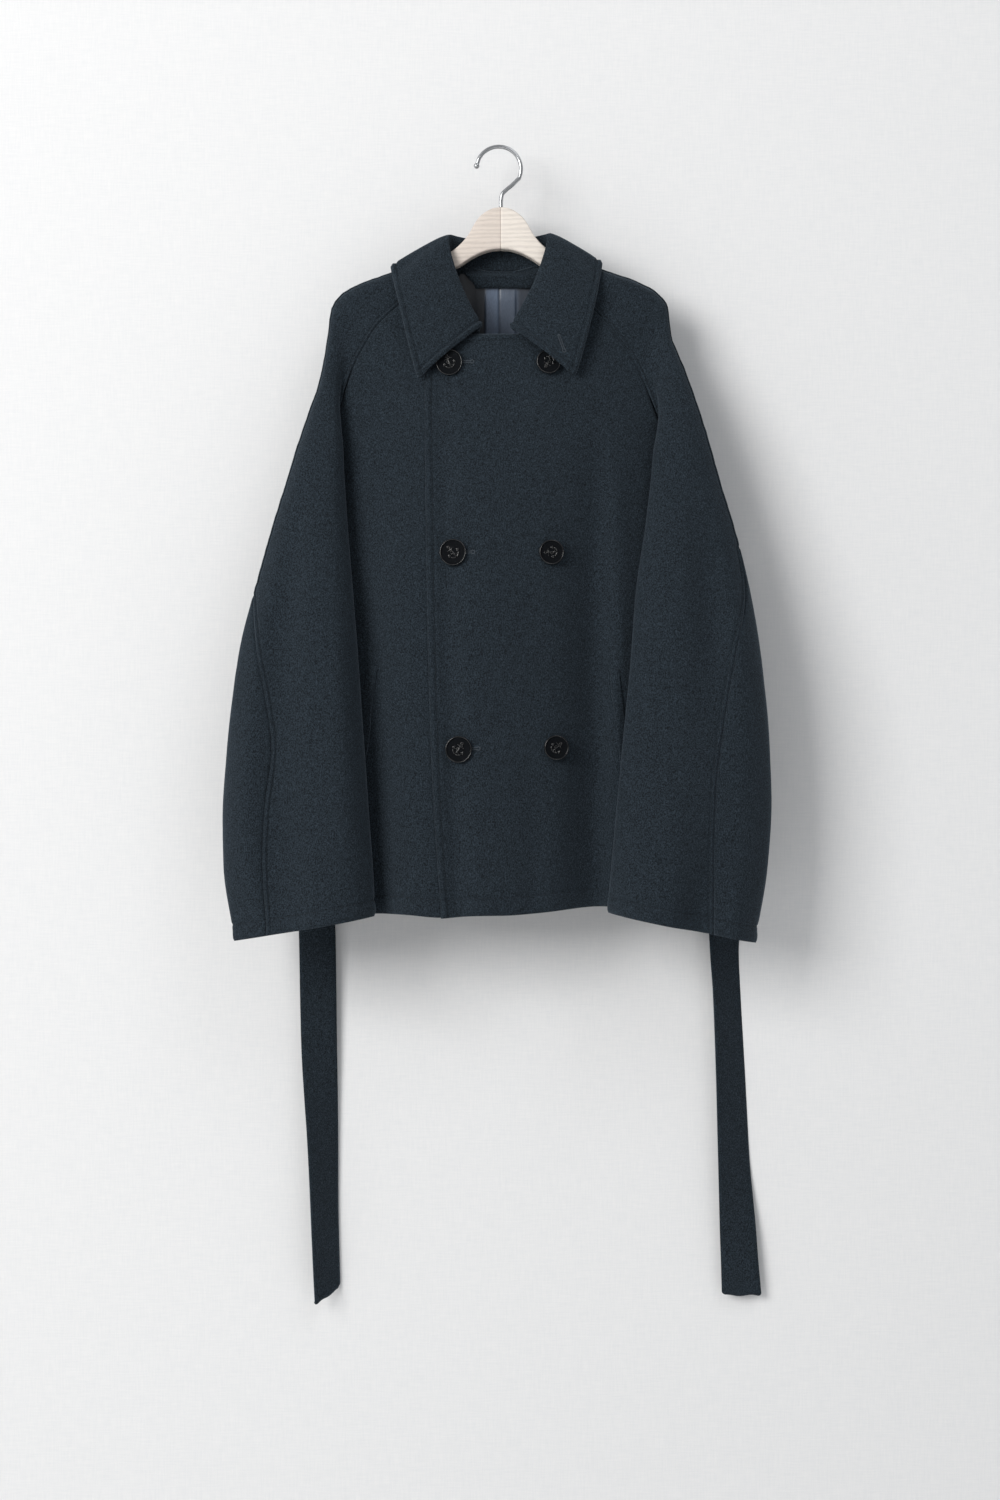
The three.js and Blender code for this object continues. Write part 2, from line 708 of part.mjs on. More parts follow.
// Pocket welts, laid on the fronts
const WELT = { length: 165, width: 11, lean: 20, off: 2.0, thick: 1.3 };
const WELT_TOP = { left: [-138, -586], right: [120, -590] };
function weltGrid(side) {
  const [topX, topZ] = side < 0 ? WELT_TOP.left : WELT_TOP.right;
  const rows = [];
  for (let i = 0; i <= 11; i += 1) {
    const t = i / 11;
    const row = [];
    for (let j = 0; j <= 2; j += 1) {
      const across = (j / 2) * WELT.width;
      const x = topX + side * (WELT.lean * t + across);
      const z = topZ - WELT.length * t + 0.12 * across;
      row.push(point(x, skin(x, z, -1) - WELT.off - WELT.thick, z));
    }
    rows.push(row);
  }
  return rows;
}
sheet("pocket_welt_left", weltGrid(-1), 1, WELT.thick, WOOL);
sheet("pocket_welt_right", weltGrid(1), -1, WELT.thick, WOOL);

// Belt: one ribbon across the back at the waist, folded down at 45 degrees at each end
const BELT_Z = -560;
const BELT_Y = 52.5;
const BELT_FOLD = 2.4; // radius of the folds, to the ribbon's middle
const BELT_LENGTH = 738; // of each end, past its fold
const BELT_ENDS = {
  columns: ["down", "shift", "turn", "half"],
  left: [
    [0, 0, 0, 21],
    [290, 0, 2, 21],
    [330, 1, 4, 21],
    [460, 3.5, 17, 21],
    [570, 8, 38, 21],
    [650, 10, 46, 20.8],
    [743, 14, 48, 20],
  ],
  right: [
    [0, 0, 0, 21],
    [290, 0, 8, 21],
    [345, 1, 33, 21],
    [395, 4, 36, 21],
    [490, 8, 33, 21],
    [585, 11, 28, 21],
    [680, 16, 4, 21.5],
    [738, 19, 0, 23],
  ],
};
const BELT_HANG = { left: -209, right: 252 };

// A point of the ribbon: past is the length past the fold's middle, across is its width
function beltPoint(side, past, across, off) {
  const middle = side < 0 ? BELT_HANG.left : BELT_HANG.right;
  const d = (past + across) / Math.SQRT2;
  const bend = Math.PI * BELT_FOLD;
  if (d <= 0) return point(middle + side * past, BELT_Y + off, BELT_Z + across);
  const lineX = past - d / Math.SQRT2;
  const lineZ = across - d / Math.SQRT2;
  if (d <= bend) {
    const r = BELT_FOLD + off;
    const out = (r * Math.sin(d / BELT_FOLD)) / Math.SQRT2;
    return point(
      middle + side * (lineX + out),
      BELT_Y - BELT_FOLD + r * Math.cos(d / BELT_FOLD),
      BELT_Z + lineZ + out,
    );
  }
  const rest = (d - bend) / Math.SQRT2;
  const heading = lineX - rest;
  const down = -(lineZ - rest);
  const rows = side < 0 ? BELT_ENDS.left : BELT_ENDS.right;
  const t = { columns: BELT_ENDS.columns, rows };
  const turn = (read(t, "turn", down) * Math.PI) / 180;
  const w = heading * (read(t, "half", down) / 21);
  return point(
    middle + side * w * Math.cos(turn) + read(t, "shift", down) + off * Math.sin(turn) * side,
    BELT_Y - 2 * BELT_FOLD - off * Math.cos(turn) + w * Math.sin(turn) * (side < 0 ? -1 : 1),
    BELT_Z - down,
  );
}

function beltSolid() {
  const past = [-60, -30, -12, 0.001, 2.7, 5.3, 8, 10.68, 16, 34, 70];
  for (let v = 150; v < 730; v += 58) past.push(v);
  past.push(BELT_LENGTH);
  const stations = [];
  for (const side of [-1, 1]) {
    const list = past.map((p) => {
      const skew = p < -40 ? 0 : 1 - smooth((p - 70) / 300);
      return { side, p, skew: p < -4 ? 1 - smooth((-p - 4) / 40) : skew };
    });
    stations.push(side < 0 ? list.reverse() : list);
  }
  const between = [-110, -55, 0, 55, 110, 160].map((x) => ({ x }));
  const path = [...stations[0], ...between, ...stations[1]];
  const lanes = [-21, -10.5, 0, 10.5, 21];
  const grid = (off) =>
    path.map((q) =>
      lanes.map((w) => {
        if (q.x !== undefined) return point(q.x, BELT_Y + off, BELT_Z + w);
        const tip = smooth((q.p - BELT_LENGTH) / 38 + 1);
        const slant = tip * (q.side < 0 ? 8 : -1) * (w / 21);
        return beltPoint(q.side, q.p - q.skew * w + slant, w, off);
      }),
    );
  return twoSided("belt", grid(BELT_CLOTH / 2), grid(-BELT_CLOTH / 2), WOOL);
}

// A closed ribbon between two grids of points
function twoSided(name, front, rear, material) {
  const rows = front.length;
  const columns = front[0].length;
  const vertices = [...front.flat(), ...rear.flat()];
  const under = rows * columns;
  const faces = [];
  const quad = (a, b, c, d) => faces.push([a, b, c], [a, c, d]);
  const id = (i, j) => i * columns + j;
  for (let i = 0; i + 1 < rows; i += 1) {
    for (let j = 0; j + 1 < columns; j += 1) {
      quad(id(i, j), id(i + 1, j), id(i + 1, j + 1), id(i, j + 1));
      quad(under + id(i, j), under + id(i, j + 1), under + id(i + 1, j + 1), under + id(i + 1, j));
    }
  }
  border(rows, columns, id).forEach(([a, b]) => quad(a, b, under + b, under + a));
  return closed(name, vertices, faces, material);
}
group.add(beltSolid());

// Belt loops: straps on the back near the side seams, standing over the belt
const LOOP = { x: 122, width: 9, above: 34, thick: 1.6 };
function loopGrid(side) {
  const steps = [-1, -0.86, -0.76, -0.7, 0, 0.7, 0.76, 0.86, 1];
  return steps.map((s) =>
    [0, 0.5, 1].map((v) => {
      const x = side * (LOOP.x + LOOP.width * v);
      const z = BELT_Z - s * LOOP.above;
      const over = BELT_Y + BELT_CLOTH / 2 + 0.6;
      const flat = skin(x, z, 1) - 0.75;
      const up = smooth((1 - Math.abs(s)) / 0.24);
      return point(x, lerp(flat, over, up) + LOOP.thick, z);
    }),
  );
}
sheet("belt_loop_left", loopGrid(-1), -1, LOOP.thick, WOOL);
sheet("belt_loop_right", loopGrid(1), 1, LOOP.thick, WOOL);

// Buttons: a flat rim round a sunken face with a raised anchor
const BUTTONS = {
  columns: ["x", "z", "size", "turn"],
  rows: [
    [-57.5, -248, BUTTON_LARGE, 20],
    [53, -247, BUTTON_SMALL, 150],
    [-52.5, -461.5, BUTTON_LARGE, 40],
    [55.5, -460.5, BUTTON_SMALL, 95],
    [-46, -678.5, BUTTON_LARGE, -35],
    [60.5, -676.5, BUTTON_SMALL, -50],
  ],
};
const BUTTON_THICK = 4.2;

function anchorFlat(r) {
  const bar = (w, h, x, y) => CrossSection.square([w, h], true).translate([x, y]);
  const ring = CrossSection.circle(0.15 * r, 8).subtract(CrossSection.circle(0.07 * r, 6));
  const bow = CrossSection.circle(0.5 * r, 12).subtract(CrossSection.circle(0.37 * r, 12));
  const lower = bow.intersect(bar(2 * r, r, 0, -0.56 * r)).translate([0, 0.02 * r]);
  const fluke = (s) => {
    const tip = [
      [s * 0.6 * r, -0.24 * r],
      [s * 0.44 * r, 0.12 * r],
      [s * 0.26 * r, -0.16 * r],
    ];
    return new CrossSection([s > 0 ? tip : tip.reverse()]);
  };
  return ring
    .translate([0, 0.56 * r])
    .add(bar(0.12 * r, 0.95 * r, 0, 0.0))
    .add(bar(0.52 * r, 0.11 * r, 0, 0.32 * r))
    .add(lower)
    .add(fluke(1))
    .add(fluke(-1));
}

function buttonSolid(size) {
  const r = size / 2;
  const t = BUTTON_THICK;
  const profile = [
    [0, 0],
    [r - 1, 0],
    [r, 1.5],
    [r - 0.3, t - 0.6],
    [r - 1.4, t],
    [r - 3.0, t - 0.2],
    [r - 4.4, t - 1.5],
    [0, t - 1.5],
  ];
  const disc = Manifold.revolve(new CrossSection([profile]), 20);
  const anchor = anchorFlat(r * 0.98).extrude(1.1).translate([0, 0, t - 1.7]);
  return disc.add(anchor);
}

function fromManifold(name, solid, material) {
  const m = solid.getMesh();
  const geometry = new THREE.BufferGeometry();
  const positions = new Float32Array(m.numVert * 3);
  for (let i = 0; i < m.numVert; i += 1) {
    positions.set(m.vertProperties.subarray(i * m.numProp, i * m.numProp + 3), i * 3);
  }
  geometry.setAttribute("position", new THREE.BufferAttribute(positions, 3));
  geometry.setIndex(new THREE.BufferAttribute(m.triVerts, 1));
  geometry.computeVertexNormals();
  return named(name, geometry, material);
}

const topSkin = (x, z) => skin(x, z, -1) - lapLift(x, z);
BUTTONS.rows.forEach(([x, z, size, turn], i) => {
  const mesh = fromManifold(`button_${i + 1}`, buttonSolid(size), HORN);
  const e = 12;
  const slopeX = (topSkin(x + e, z) - topSkin(x - e, z)) / (2 * e);
  const slopeZ = (topSkin(x, z + e) - topSkin(x, z - e)) / (2 * e);
  const normal = point(slopeX, -1, slopeZ).normalize();
  const up = point(0, 0, 1).addScaledVector(normal, -normal.z).normalize();
  const right = up.clone().cross(normal);
  const seat = point(x, topSkin(x, z), z);
  let off = 0;
  for (let k = 0; k < 24; k += 1) {
    const a = (k / 24) * 2 * Math.PI;
    for (const f of [0.4, 0.75, 1]) {
      const p = seat
        .clone()
        .addScaledVector(right, (f * Math.cos(a) * size) / 2)
        .addScaledVector(up, (f * Math.sin(a) * size) / 2);
      off = Math.max(off, p.y - topSkin(p.x, p.z));
    }
  }
  const matrix = new THREE.Matrix4().makeBasis(right, up, normal);
  mesh.applyMatrix4(new THREE.Matrix4().makeRotationZ((turn * Math.PI) / 180));
  mesh.applyMatrix4(matrix);
  mesh.applyMatrix4(new THREE.Matrix4().makeTranslation(seat.clone().addScaledVector(normal, off + 0.6)));
  group.add(mesh);
});

// Hanger arm: its outline in front view, cut from a board with rounded edges
const ARM = {
  columns: ["x", "top", "bottom"],
  rows: [
    [0.2, -67.2, -114.5],
    [8, -68.2, -115],
    [16, -71.8, -116.8],
    [24, -78, -119.8],
    [30.5, -87, -123],
    [36, -97, -126.2],
    [43, -106, -131],
    [50, -112.6, -135],
    [57.6, -118.2, -138.8],
    [66, -125.5, -142.8],
    [95, -138.5, -155],
    [127, -151.5, -168],
    [155, -162.5, -181],
    [170, -170, -188],
    [178, -177, -190.5],
    [HANGER_END - 2, -184, -188],
  ],
};
function hangerArm(name, side) {
  const ring = (x, top, bottom) => {
    const half = lerp(HANGER_HALF_DEPTH, 6.5, smooth((x - 40) / 30));
    const r = Math.min(lerp(2.6, 4.5, smooth((x - 45) / 30)), (top - bottom) * 0.3);
    const k = 0.3 * r;
    return [
      [-half, bottom + r],
      [-half, top - r],
      [-half + k, top - k],
      [-half + r, top],
      [half - r, top],
      [half - k, top - k],
      [half, top - r],
      [half, bottom + r],
      [half - k, bottom + k],
      [half - r, bottom],
      [-half + r, bottom],
      [-half + k, bottom + k],
    ].map(([y, z]) => point(side * x, y, z));
  };
  const rings = ARM.rows.map(([x, top, bottom]) => ring(x, top, bottom));
  return tube(name, rings, BEECH);
}

// A closed body through rings of points, with flat ends
function tube(name, rings, material) {
  const n = rings[0].length;
  const faces = [];
  for (let i = 0; i + 1 < rings.length; i += 1) {
    for (let j = 0; j < n; j += 1) {
      const k = (j + 1) % n;
      const [a, b, c, d] = [i * n + j, (i + 1) * n + j, (i + 1) * n + k, i * n + k];
      faces.push([a, b, c], [a, c, d]);
    }
  }
  const end = (rings.length - 1) * n;
  for (let j = 1; j + 1 < n; j += 1) {
    faces.push([0, j, j + 1], [end, end + j + 1, end + j]);
  }
  return closed(name, rings.flat(), faces, material);
}
group.add(hangerArm("hanger_arm_left", -1));
group.add(hangerArm("hanger_arm_right", 1));

// Hook: a bent wire with a ball at its tip, ending on the wood
function hookSolid() {
  const r = HOOK_RADIUS;
  const centre = point(-2.5, 0, HOOK_WIRE / 2 - r);
  const points = [];
  for (let i = 0; i <= 8; i += 1) {
    const a = ((172 - i * 24.5) * Math.PI) / 180;
    points.push(point(centre.x + r * Math.cos(a), 0, centre.z + r * Math.sin(a)));
  }
  const tail = [
    [18.5, -35.2],
    [12.5, -41.2],
    [6, -46.5],
    [1.8, -51],
    [0.2, -57],
    [0, -66.8],
  ];
  tail.forEach(([x, z]) => points.push(point(x, 0, z)));
  const curve = new THREE.CatmullRomCurve3(points, false, "centripetal");
  const steps = 30;
  const around = 8;
  const rings = [];
  for (let i = 0; i <= steps; i += 1) {
    const p = curve.getPoint(i / steps);
    const along = curve.getTangent(i / steps);
    const side = point(0, 1, 0);
    const up = side.clone().cross(along).normalize();
    const ring = [];
    for (let k = 0; k < around; k += 1) {
      const a = (k / around) * 2 * Math.PI;
      const q = p.clone().addScaledVector(side, (Math.cos(a) * HOOK_WIRE) / 2);
      ring.push(q.addScaledVector(up, (Math.sin(a) * HOOK_WIRE) / 2));
    }
    rings.push(ring);
  }
  const wire = toManifold(tube("hook", rings, STEEL).geometry);
  const tip = Manifold.sphere(3.3, 8).translate([points[0].x, 0, points[0].z]);
  return wire.add(tip);
}

function toManifold(geometry) {
  return new Manifold(
    new wasm.Mesh({
      numProp: 3,
      vertProperties: geometry.getAttribute("position").array,
      triVerts: new Uint32Array(geometry.getIndex().array),
    }),
  );
}
group.add(fromManifold("hanger_hook", hookSolid(), STEEL));

export default group;
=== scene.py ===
"""Looks of a short wool pea coat with raglan sleeves and a tie belt, on a beech hanger.

Millimetres are used for the cloth's sections, as the shell is drawn, and turned to metres
where a mesh is made. side is -1 at the viewer's left and +1 at the viewer's right.
"""
import sys
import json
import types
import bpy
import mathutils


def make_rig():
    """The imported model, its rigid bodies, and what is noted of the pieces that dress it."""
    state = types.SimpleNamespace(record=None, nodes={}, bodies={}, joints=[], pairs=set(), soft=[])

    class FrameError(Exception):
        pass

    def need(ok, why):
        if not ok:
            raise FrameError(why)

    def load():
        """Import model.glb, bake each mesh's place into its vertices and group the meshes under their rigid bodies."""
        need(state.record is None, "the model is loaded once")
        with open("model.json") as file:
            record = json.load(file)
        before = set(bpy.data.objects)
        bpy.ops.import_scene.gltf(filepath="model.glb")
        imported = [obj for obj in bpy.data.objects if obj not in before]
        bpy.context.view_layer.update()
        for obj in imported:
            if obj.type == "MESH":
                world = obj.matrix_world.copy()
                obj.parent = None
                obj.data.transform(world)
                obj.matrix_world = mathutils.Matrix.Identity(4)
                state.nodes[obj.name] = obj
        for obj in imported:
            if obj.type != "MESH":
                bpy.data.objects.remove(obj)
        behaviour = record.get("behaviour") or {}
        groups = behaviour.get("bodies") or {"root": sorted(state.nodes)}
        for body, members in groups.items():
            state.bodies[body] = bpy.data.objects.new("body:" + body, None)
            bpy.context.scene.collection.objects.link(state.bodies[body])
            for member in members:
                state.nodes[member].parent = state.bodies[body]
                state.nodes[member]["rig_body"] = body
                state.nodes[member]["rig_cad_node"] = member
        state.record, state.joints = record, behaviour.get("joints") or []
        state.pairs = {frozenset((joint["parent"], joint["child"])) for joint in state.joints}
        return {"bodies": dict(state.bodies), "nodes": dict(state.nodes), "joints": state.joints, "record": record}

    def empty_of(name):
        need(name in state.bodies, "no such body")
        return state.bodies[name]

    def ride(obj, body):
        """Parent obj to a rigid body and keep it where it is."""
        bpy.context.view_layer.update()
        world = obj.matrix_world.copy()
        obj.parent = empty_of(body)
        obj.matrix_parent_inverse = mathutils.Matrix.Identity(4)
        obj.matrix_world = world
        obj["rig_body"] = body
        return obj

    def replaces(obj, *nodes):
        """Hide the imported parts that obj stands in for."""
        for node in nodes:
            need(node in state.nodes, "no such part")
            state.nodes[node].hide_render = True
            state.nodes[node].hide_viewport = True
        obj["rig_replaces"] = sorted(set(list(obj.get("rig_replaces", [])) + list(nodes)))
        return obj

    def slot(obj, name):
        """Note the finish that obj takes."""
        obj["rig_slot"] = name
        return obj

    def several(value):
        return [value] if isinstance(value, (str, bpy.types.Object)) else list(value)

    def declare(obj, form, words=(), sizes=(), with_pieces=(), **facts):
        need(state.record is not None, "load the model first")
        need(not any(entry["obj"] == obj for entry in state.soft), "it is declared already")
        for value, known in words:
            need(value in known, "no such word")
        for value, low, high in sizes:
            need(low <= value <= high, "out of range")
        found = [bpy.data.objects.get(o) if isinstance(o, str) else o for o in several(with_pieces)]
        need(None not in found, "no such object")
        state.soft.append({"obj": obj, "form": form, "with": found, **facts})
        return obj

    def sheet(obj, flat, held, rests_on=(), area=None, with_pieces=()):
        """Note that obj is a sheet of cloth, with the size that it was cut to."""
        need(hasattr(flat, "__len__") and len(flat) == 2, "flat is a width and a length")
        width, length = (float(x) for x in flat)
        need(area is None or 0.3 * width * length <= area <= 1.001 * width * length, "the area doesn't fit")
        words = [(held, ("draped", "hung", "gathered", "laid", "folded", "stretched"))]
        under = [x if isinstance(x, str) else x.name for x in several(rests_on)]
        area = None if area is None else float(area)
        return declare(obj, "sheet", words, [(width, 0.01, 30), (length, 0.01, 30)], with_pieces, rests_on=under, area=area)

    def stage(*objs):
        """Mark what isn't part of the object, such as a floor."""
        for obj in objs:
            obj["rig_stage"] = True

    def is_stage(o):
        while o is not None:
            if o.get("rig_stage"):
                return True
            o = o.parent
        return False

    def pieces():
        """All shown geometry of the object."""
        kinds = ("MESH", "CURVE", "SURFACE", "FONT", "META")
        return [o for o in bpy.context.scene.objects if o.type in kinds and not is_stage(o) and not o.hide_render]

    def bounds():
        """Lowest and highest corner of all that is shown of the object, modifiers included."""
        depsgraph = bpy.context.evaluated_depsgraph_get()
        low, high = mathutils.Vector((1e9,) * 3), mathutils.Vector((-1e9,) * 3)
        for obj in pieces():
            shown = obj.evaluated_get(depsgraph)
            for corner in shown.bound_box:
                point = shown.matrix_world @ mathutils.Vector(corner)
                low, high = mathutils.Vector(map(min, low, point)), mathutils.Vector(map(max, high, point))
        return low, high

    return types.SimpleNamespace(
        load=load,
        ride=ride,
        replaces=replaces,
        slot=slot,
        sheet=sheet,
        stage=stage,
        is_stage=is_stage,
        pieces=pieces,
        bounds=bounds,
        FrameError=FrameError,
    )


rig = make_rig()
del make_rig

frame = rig.load()

import json
import math

import bmesh
import bpy
import numpy as np
from mathutils import Matrix, Vector

CAD_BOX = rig.bounds()
MM = 0.001

bl_info = {
    "name": "Pea coat on a hanger",
    "version": (1, 0, 0),
    "blender": (4, 5, 0),
    "location": "View3D > Sidebar > Coat",
    "description": "Builds a wool pea coat, its belt, buttons and hanger",
    "category": "Add Mesh",
}

# Sizes of the cloth's form, in millimetres
LINING = 1.0
BELT_CLOTH = 3.0
FACING_CLOTH = 2.2
LAP_LIFT = 3.2
SLEEVE_CLEARANCE = 4.0
SHOULDER_HALF = 14
UNDERARM_Z = -374
SIDE_Y = 8
YOKE_ROWS = 10
DROP_ROWS = 12
CLOTH_IN_CAD = 2.4


def hex_colour(text):
    """An sRGB hex colour as linear red, green and blue."""
    srgb = [int(text[i : i + 2], 16) / 255 for i in (1, 3, 5)]
    return tuple(c / 12.92 if c <= 0.04045 else ((c + 0.055) / 1.055) ** 2.4 for c in srgb)


def lerp(a, b, t):
    return a + (b - a) * t


def smooth(t):
    c = np.clip(t, 0, 1)
    return c * c * (3 - 2 * c)


def bump(v):
    return np.exp(-v * v)


def arc(t):
    return np.sqrt(1 - (1 - np.clip(t, 0, 1)) ** 2)


def table(columns, rows):
    """Columns by name; the first one is what the table is read at."""
    names = columns.split()
    data = np.array(rows, float).T
    return {"at": data[0], **dict(zip(names[1:], data[1:]))}


def read(tab, name, at):
    """A column of a table as a smooth curve of its first column."""
    key, value, at = tab["at"], tab[name], np.asarray(at, float)
    if key[0] > key[-1]:
        key, at = -key, -at
    at = np.clip(at, key[0], key[-1])
    i = np.clip(np.searchsorted(key, at) - 1, 0, len(key) - 2)
    step = np.diff(key)
    slope = np.diff(value) / step
    same = slope[:-1] * slope[1:]
    total = np.where(same > 0, slope[:-1] + slope[1:], 1)
    lean = np.concatenate([slope[:1], np.where(same > 0, 2 * same / total, 0), slope[-1:]])
    h = step[i]
    t = (at - key[i]) / h
    start = (2 * t**3 - 3 * t**2 + 1) * value[i] + (t**3 - 2 * t**2 + t) * h * lean[i]
    end = (3 * t**2 - 2 * t**3) * value[i + 1] + (t**3 - t**2) * h * lean[i + 1]
    return start + end


# Body sections, by height
BODY = table(
    "z half front back",
    [
        [-90, 200, 36, 34],
        [-206, 200, 36, 37],
        [-374, 202, 48, 42],
        [-560, 216, 54, 44],
        [-720, 228, 57, 46],
        [-866, 240, 60, 50],
    ],
)

# Shoulder and sleeve outline with its seams, by row from the neck to the underarm
YOKE_COLUMNS = "row seamX seamZ foldX outX outZ overlap"
YOKE = {
    -1: table(
        YOKE_COLUMNS,
        [
            [0, 60, -141, 150, 64, -117, 0],
            [1, 91, -160, 160, 95, -129, 0],
            [2, 122, -186, 170, 127, -141.5, 0],
            [3, 139, -203, 178, 155, -151.5, 0],
            [4, 152, -223, 184, 178, -163.5, 0],
            [5, 163, -243, 182.5, 191, -181, 0.05],
            [6, 172, -266, 179, 195.5, -217, 0.3],
            [7, 179, -290, 177, 202.5, -261, 0.62],
            [8, 187, -315, 175.5, 215, -302, 0.85],
            [9, 195, -343, 174.5, 227, -340, 0.97],
            [10, 202, -374, 174, 239.5, -382, 1],
        ],
    ),
    1: table(
        YOKE_COLUMNS,
        [
            [0, 60, -141, 150, 64, -117, 0],
            [1, 84, -165, 160, 92, -127.5, 0],
            [2, 110, -191, 168, 119, -138.5, 0],
            [3, 126, -209, 175, 150, -149, 0],
            [4, 143, -232, 181, 176, -163, 0],
            [5, 155, -254, 179, 188, -179, 0.05],
            [6, 165, -279, 176, 191.5, -212, 0.3],
            [7, 174, -302, 172.5, 205, -249, 0.62],
            [8, 184, -325, 170, 221, -297, 0.85],
            [9, 194, -348, 168, 234, -342, 0.97],
            [10, 202, -374, 167, 246, -386, 1],
        ],
    ),
}
REAR = table(
    "row x z",
    [
        [0, 48, -125],
        [1, 72, -143],
        [2, 98, -168],
        [3, 120, -193],
        [4, 139, -219],
        [5, 155, -246],
        [6, 169, -272],
        [7, 181, -298],
        [8, 190, -323],
        [9, 197, -348],
        [10, 202, -374],
    ],
)

# Hanging part of the sleeves, by height: inner fold, outer edge, depth, front overarm seam
SLEEVE = {
    -1: table(
        "z foldX outX depth overX",
        [
            [-374, 174, 237.5, 26, 237.5],
            [-430, 170, 254.5, 30, 254.5],
            [-512, 163, 276.5, 36, 275],
            [-567, 158.5, 289.5, 39, 270],
            [-630, 154, 298.5, 41, 258.5],
            [-685, 150, 304, 42, 252],
            [-755, 145, 308, 43, 259.5],
            [-808, 141, 307, 43, 261.5],
            [-880, 137, 296.5, 42, 258],
        ],
    ),
    1: table(
        "z foldX outX depth overX",
        [
            [-374, 167, 243, 28, 243],
            [-430, 160, 259.5, 33, 259.5],
            [-504, 149, 277, 39, 271],
            [-583, 142.5, 289, 43, 256.5],
            [-668, 134, 297, 45, 243],
            [-736, 127.5, 299.5, 45, 235.5],
            [-805, 121.5, 295.5, 44, 233.5],
            [-880, 115, 283, 43, 233],
        ],
    ),
}

# Long soft folds: where, from (x0, z0) to (x1, z1), width, lift
FOLDS = [
    ["body", -120, -270, -92, -880, 24, 9],
    ["body", -160, -380, -130, -900, 15, -7],
    ["body", -36, -260, -36, -900, 88, 23],
    ["body", 105, -270, 101, -900, 28, -20],
    ["body", 126, -300, 128, -640, 14, 9],
    ["body", 150, -500, 165, -900, 26, 5],
    ["body", 40, -640, 34, -900, 15, -3],
    ["body", -70, -180, -62, -420, 12, -4],
    ["left", -200, -270, -184, -900, 24, 14],
    ["left", -232, -400, -262, -900, 20, -9],
    ["left", -288, -600, -292, -900, 14, 6],
    ["right", 204, -270, 176, -900, 16, 8],
    ["right", 229, -380, 214, -880, 16, -11],
    ["right", 262, -440, 246, -900, 18, 9],
    ["back", -120, -300, -140, -900, 26, 6],
    ["back", -70, -340, -84, -900, 22, -5],
    ["back", 0, -380, 0, -900, 24, 5],
    ["back", 74, -340, 88, -900, 22, -5],
    ["back", 122, -300, 144, -900, 26, 6],
    ["back", -176, -420, -190, -900, 16, -4],
    ["back", 178, -420, 192, -900, 16, -4],
]


def folds(on, x, z):
    total = 0
    for where, x0, z0, x1, z1, width, lift in FOLDS:
        if where == on:
            t = np.maximum((z - z0) / (z1 - z0), 0)
            swell = lift * smooth(t * 2.5) * (0.6 + 0.4 * t)
            total = total + swell * bump((x - lerp(x0, x1, t)) / width)
    return total


def edge_distance(x, z):
    """Distance in front view from the shoulder line and the sleeve's outer edge."""
    found = {}
    for side in (-1, 1):
        xs = np.concatenate([[0], YOKE[side]["outX"]])
        zs = np.concatenate([[-92], YOKE[side]["outZ"]])
        best = np.full(np.shape(x), np.inf)
        for ax, az, bx, bz in zip(xs, zs, xs[1:], zs[1:]):
            span = (bx - ax) ** 2 + (bz - az) ** 2
            t = np.clip(((abs(x) - ax) * (bx - ax) + (z - az) * (bz - az)) / span, 0, 1)
            best = np.minimum(best, np.hypot(abs(x) - lerp(ax, bx, t), z - lerp(az, bz, t)))
        found[side] = best
    return np.where(x < 0, found[-1], found[1])


def skin(x, z, sign):
    """Outer skin of the body over the X-Z plane, in front (-1) or behind (+1)."""
    x, z = np.broadcast_arrays(np.asarray(x, float), np.asarray(z, float))
    depth = read(BODY, "front" if sign < 0 else "back", z)
    d = edge_distance(x, z)
    hung = sign * (SHOULDER_HALF * arc(d / 14) + (depth - SHOULDER_HALF) * smooth(d / 150))
    ratio = np.clip(abs(x) / read(BODY, "half", z), 0, 1)
    ring = SIDE_Y + (sign * depth - SIDE_Y) * (1 - ratio**2.3) ** (1 / 2.3)
    base = lerp(hung, ring, smooth((-240 - z) / 125))
    fold = -folds("body", x, z) if sign < 0 else folds("back", x, z)
    return base + fold * smooth((1 - ratio) * 6)


LAP_EDGE = table(
    "z x", [[-200, -86], [-320, -85], [-446, -83], [-553, -81], [-715, -75.5], [-870, -65]]
)


def under_edge(z):
    return lerp(16, 78, smooth((-212 - z) / 190))


def lap_lift(x, z):
    return LAP_LIFT * (1 - smooth((x - under_edge(z) - 8) / 32))


def top_skin(x, z):
    return skin(x, z, -1) - lap_lift(x, z)


def hem_z(x):
    return -861 + np.where(x > 0, 8 * smooth(x / 120), -3 * bump((x + 66) / 25))


def sleeve_hem_z(side, x):
    t = (abs(x) - 115) / 190
    return lerp(-859, -892, t) if side < 0 else lerp(-855, -894, t)


def xyz(x, y, z):
    return np.stack(np.broadcast_arrays(x, y, z), axis=-1).astype(float)


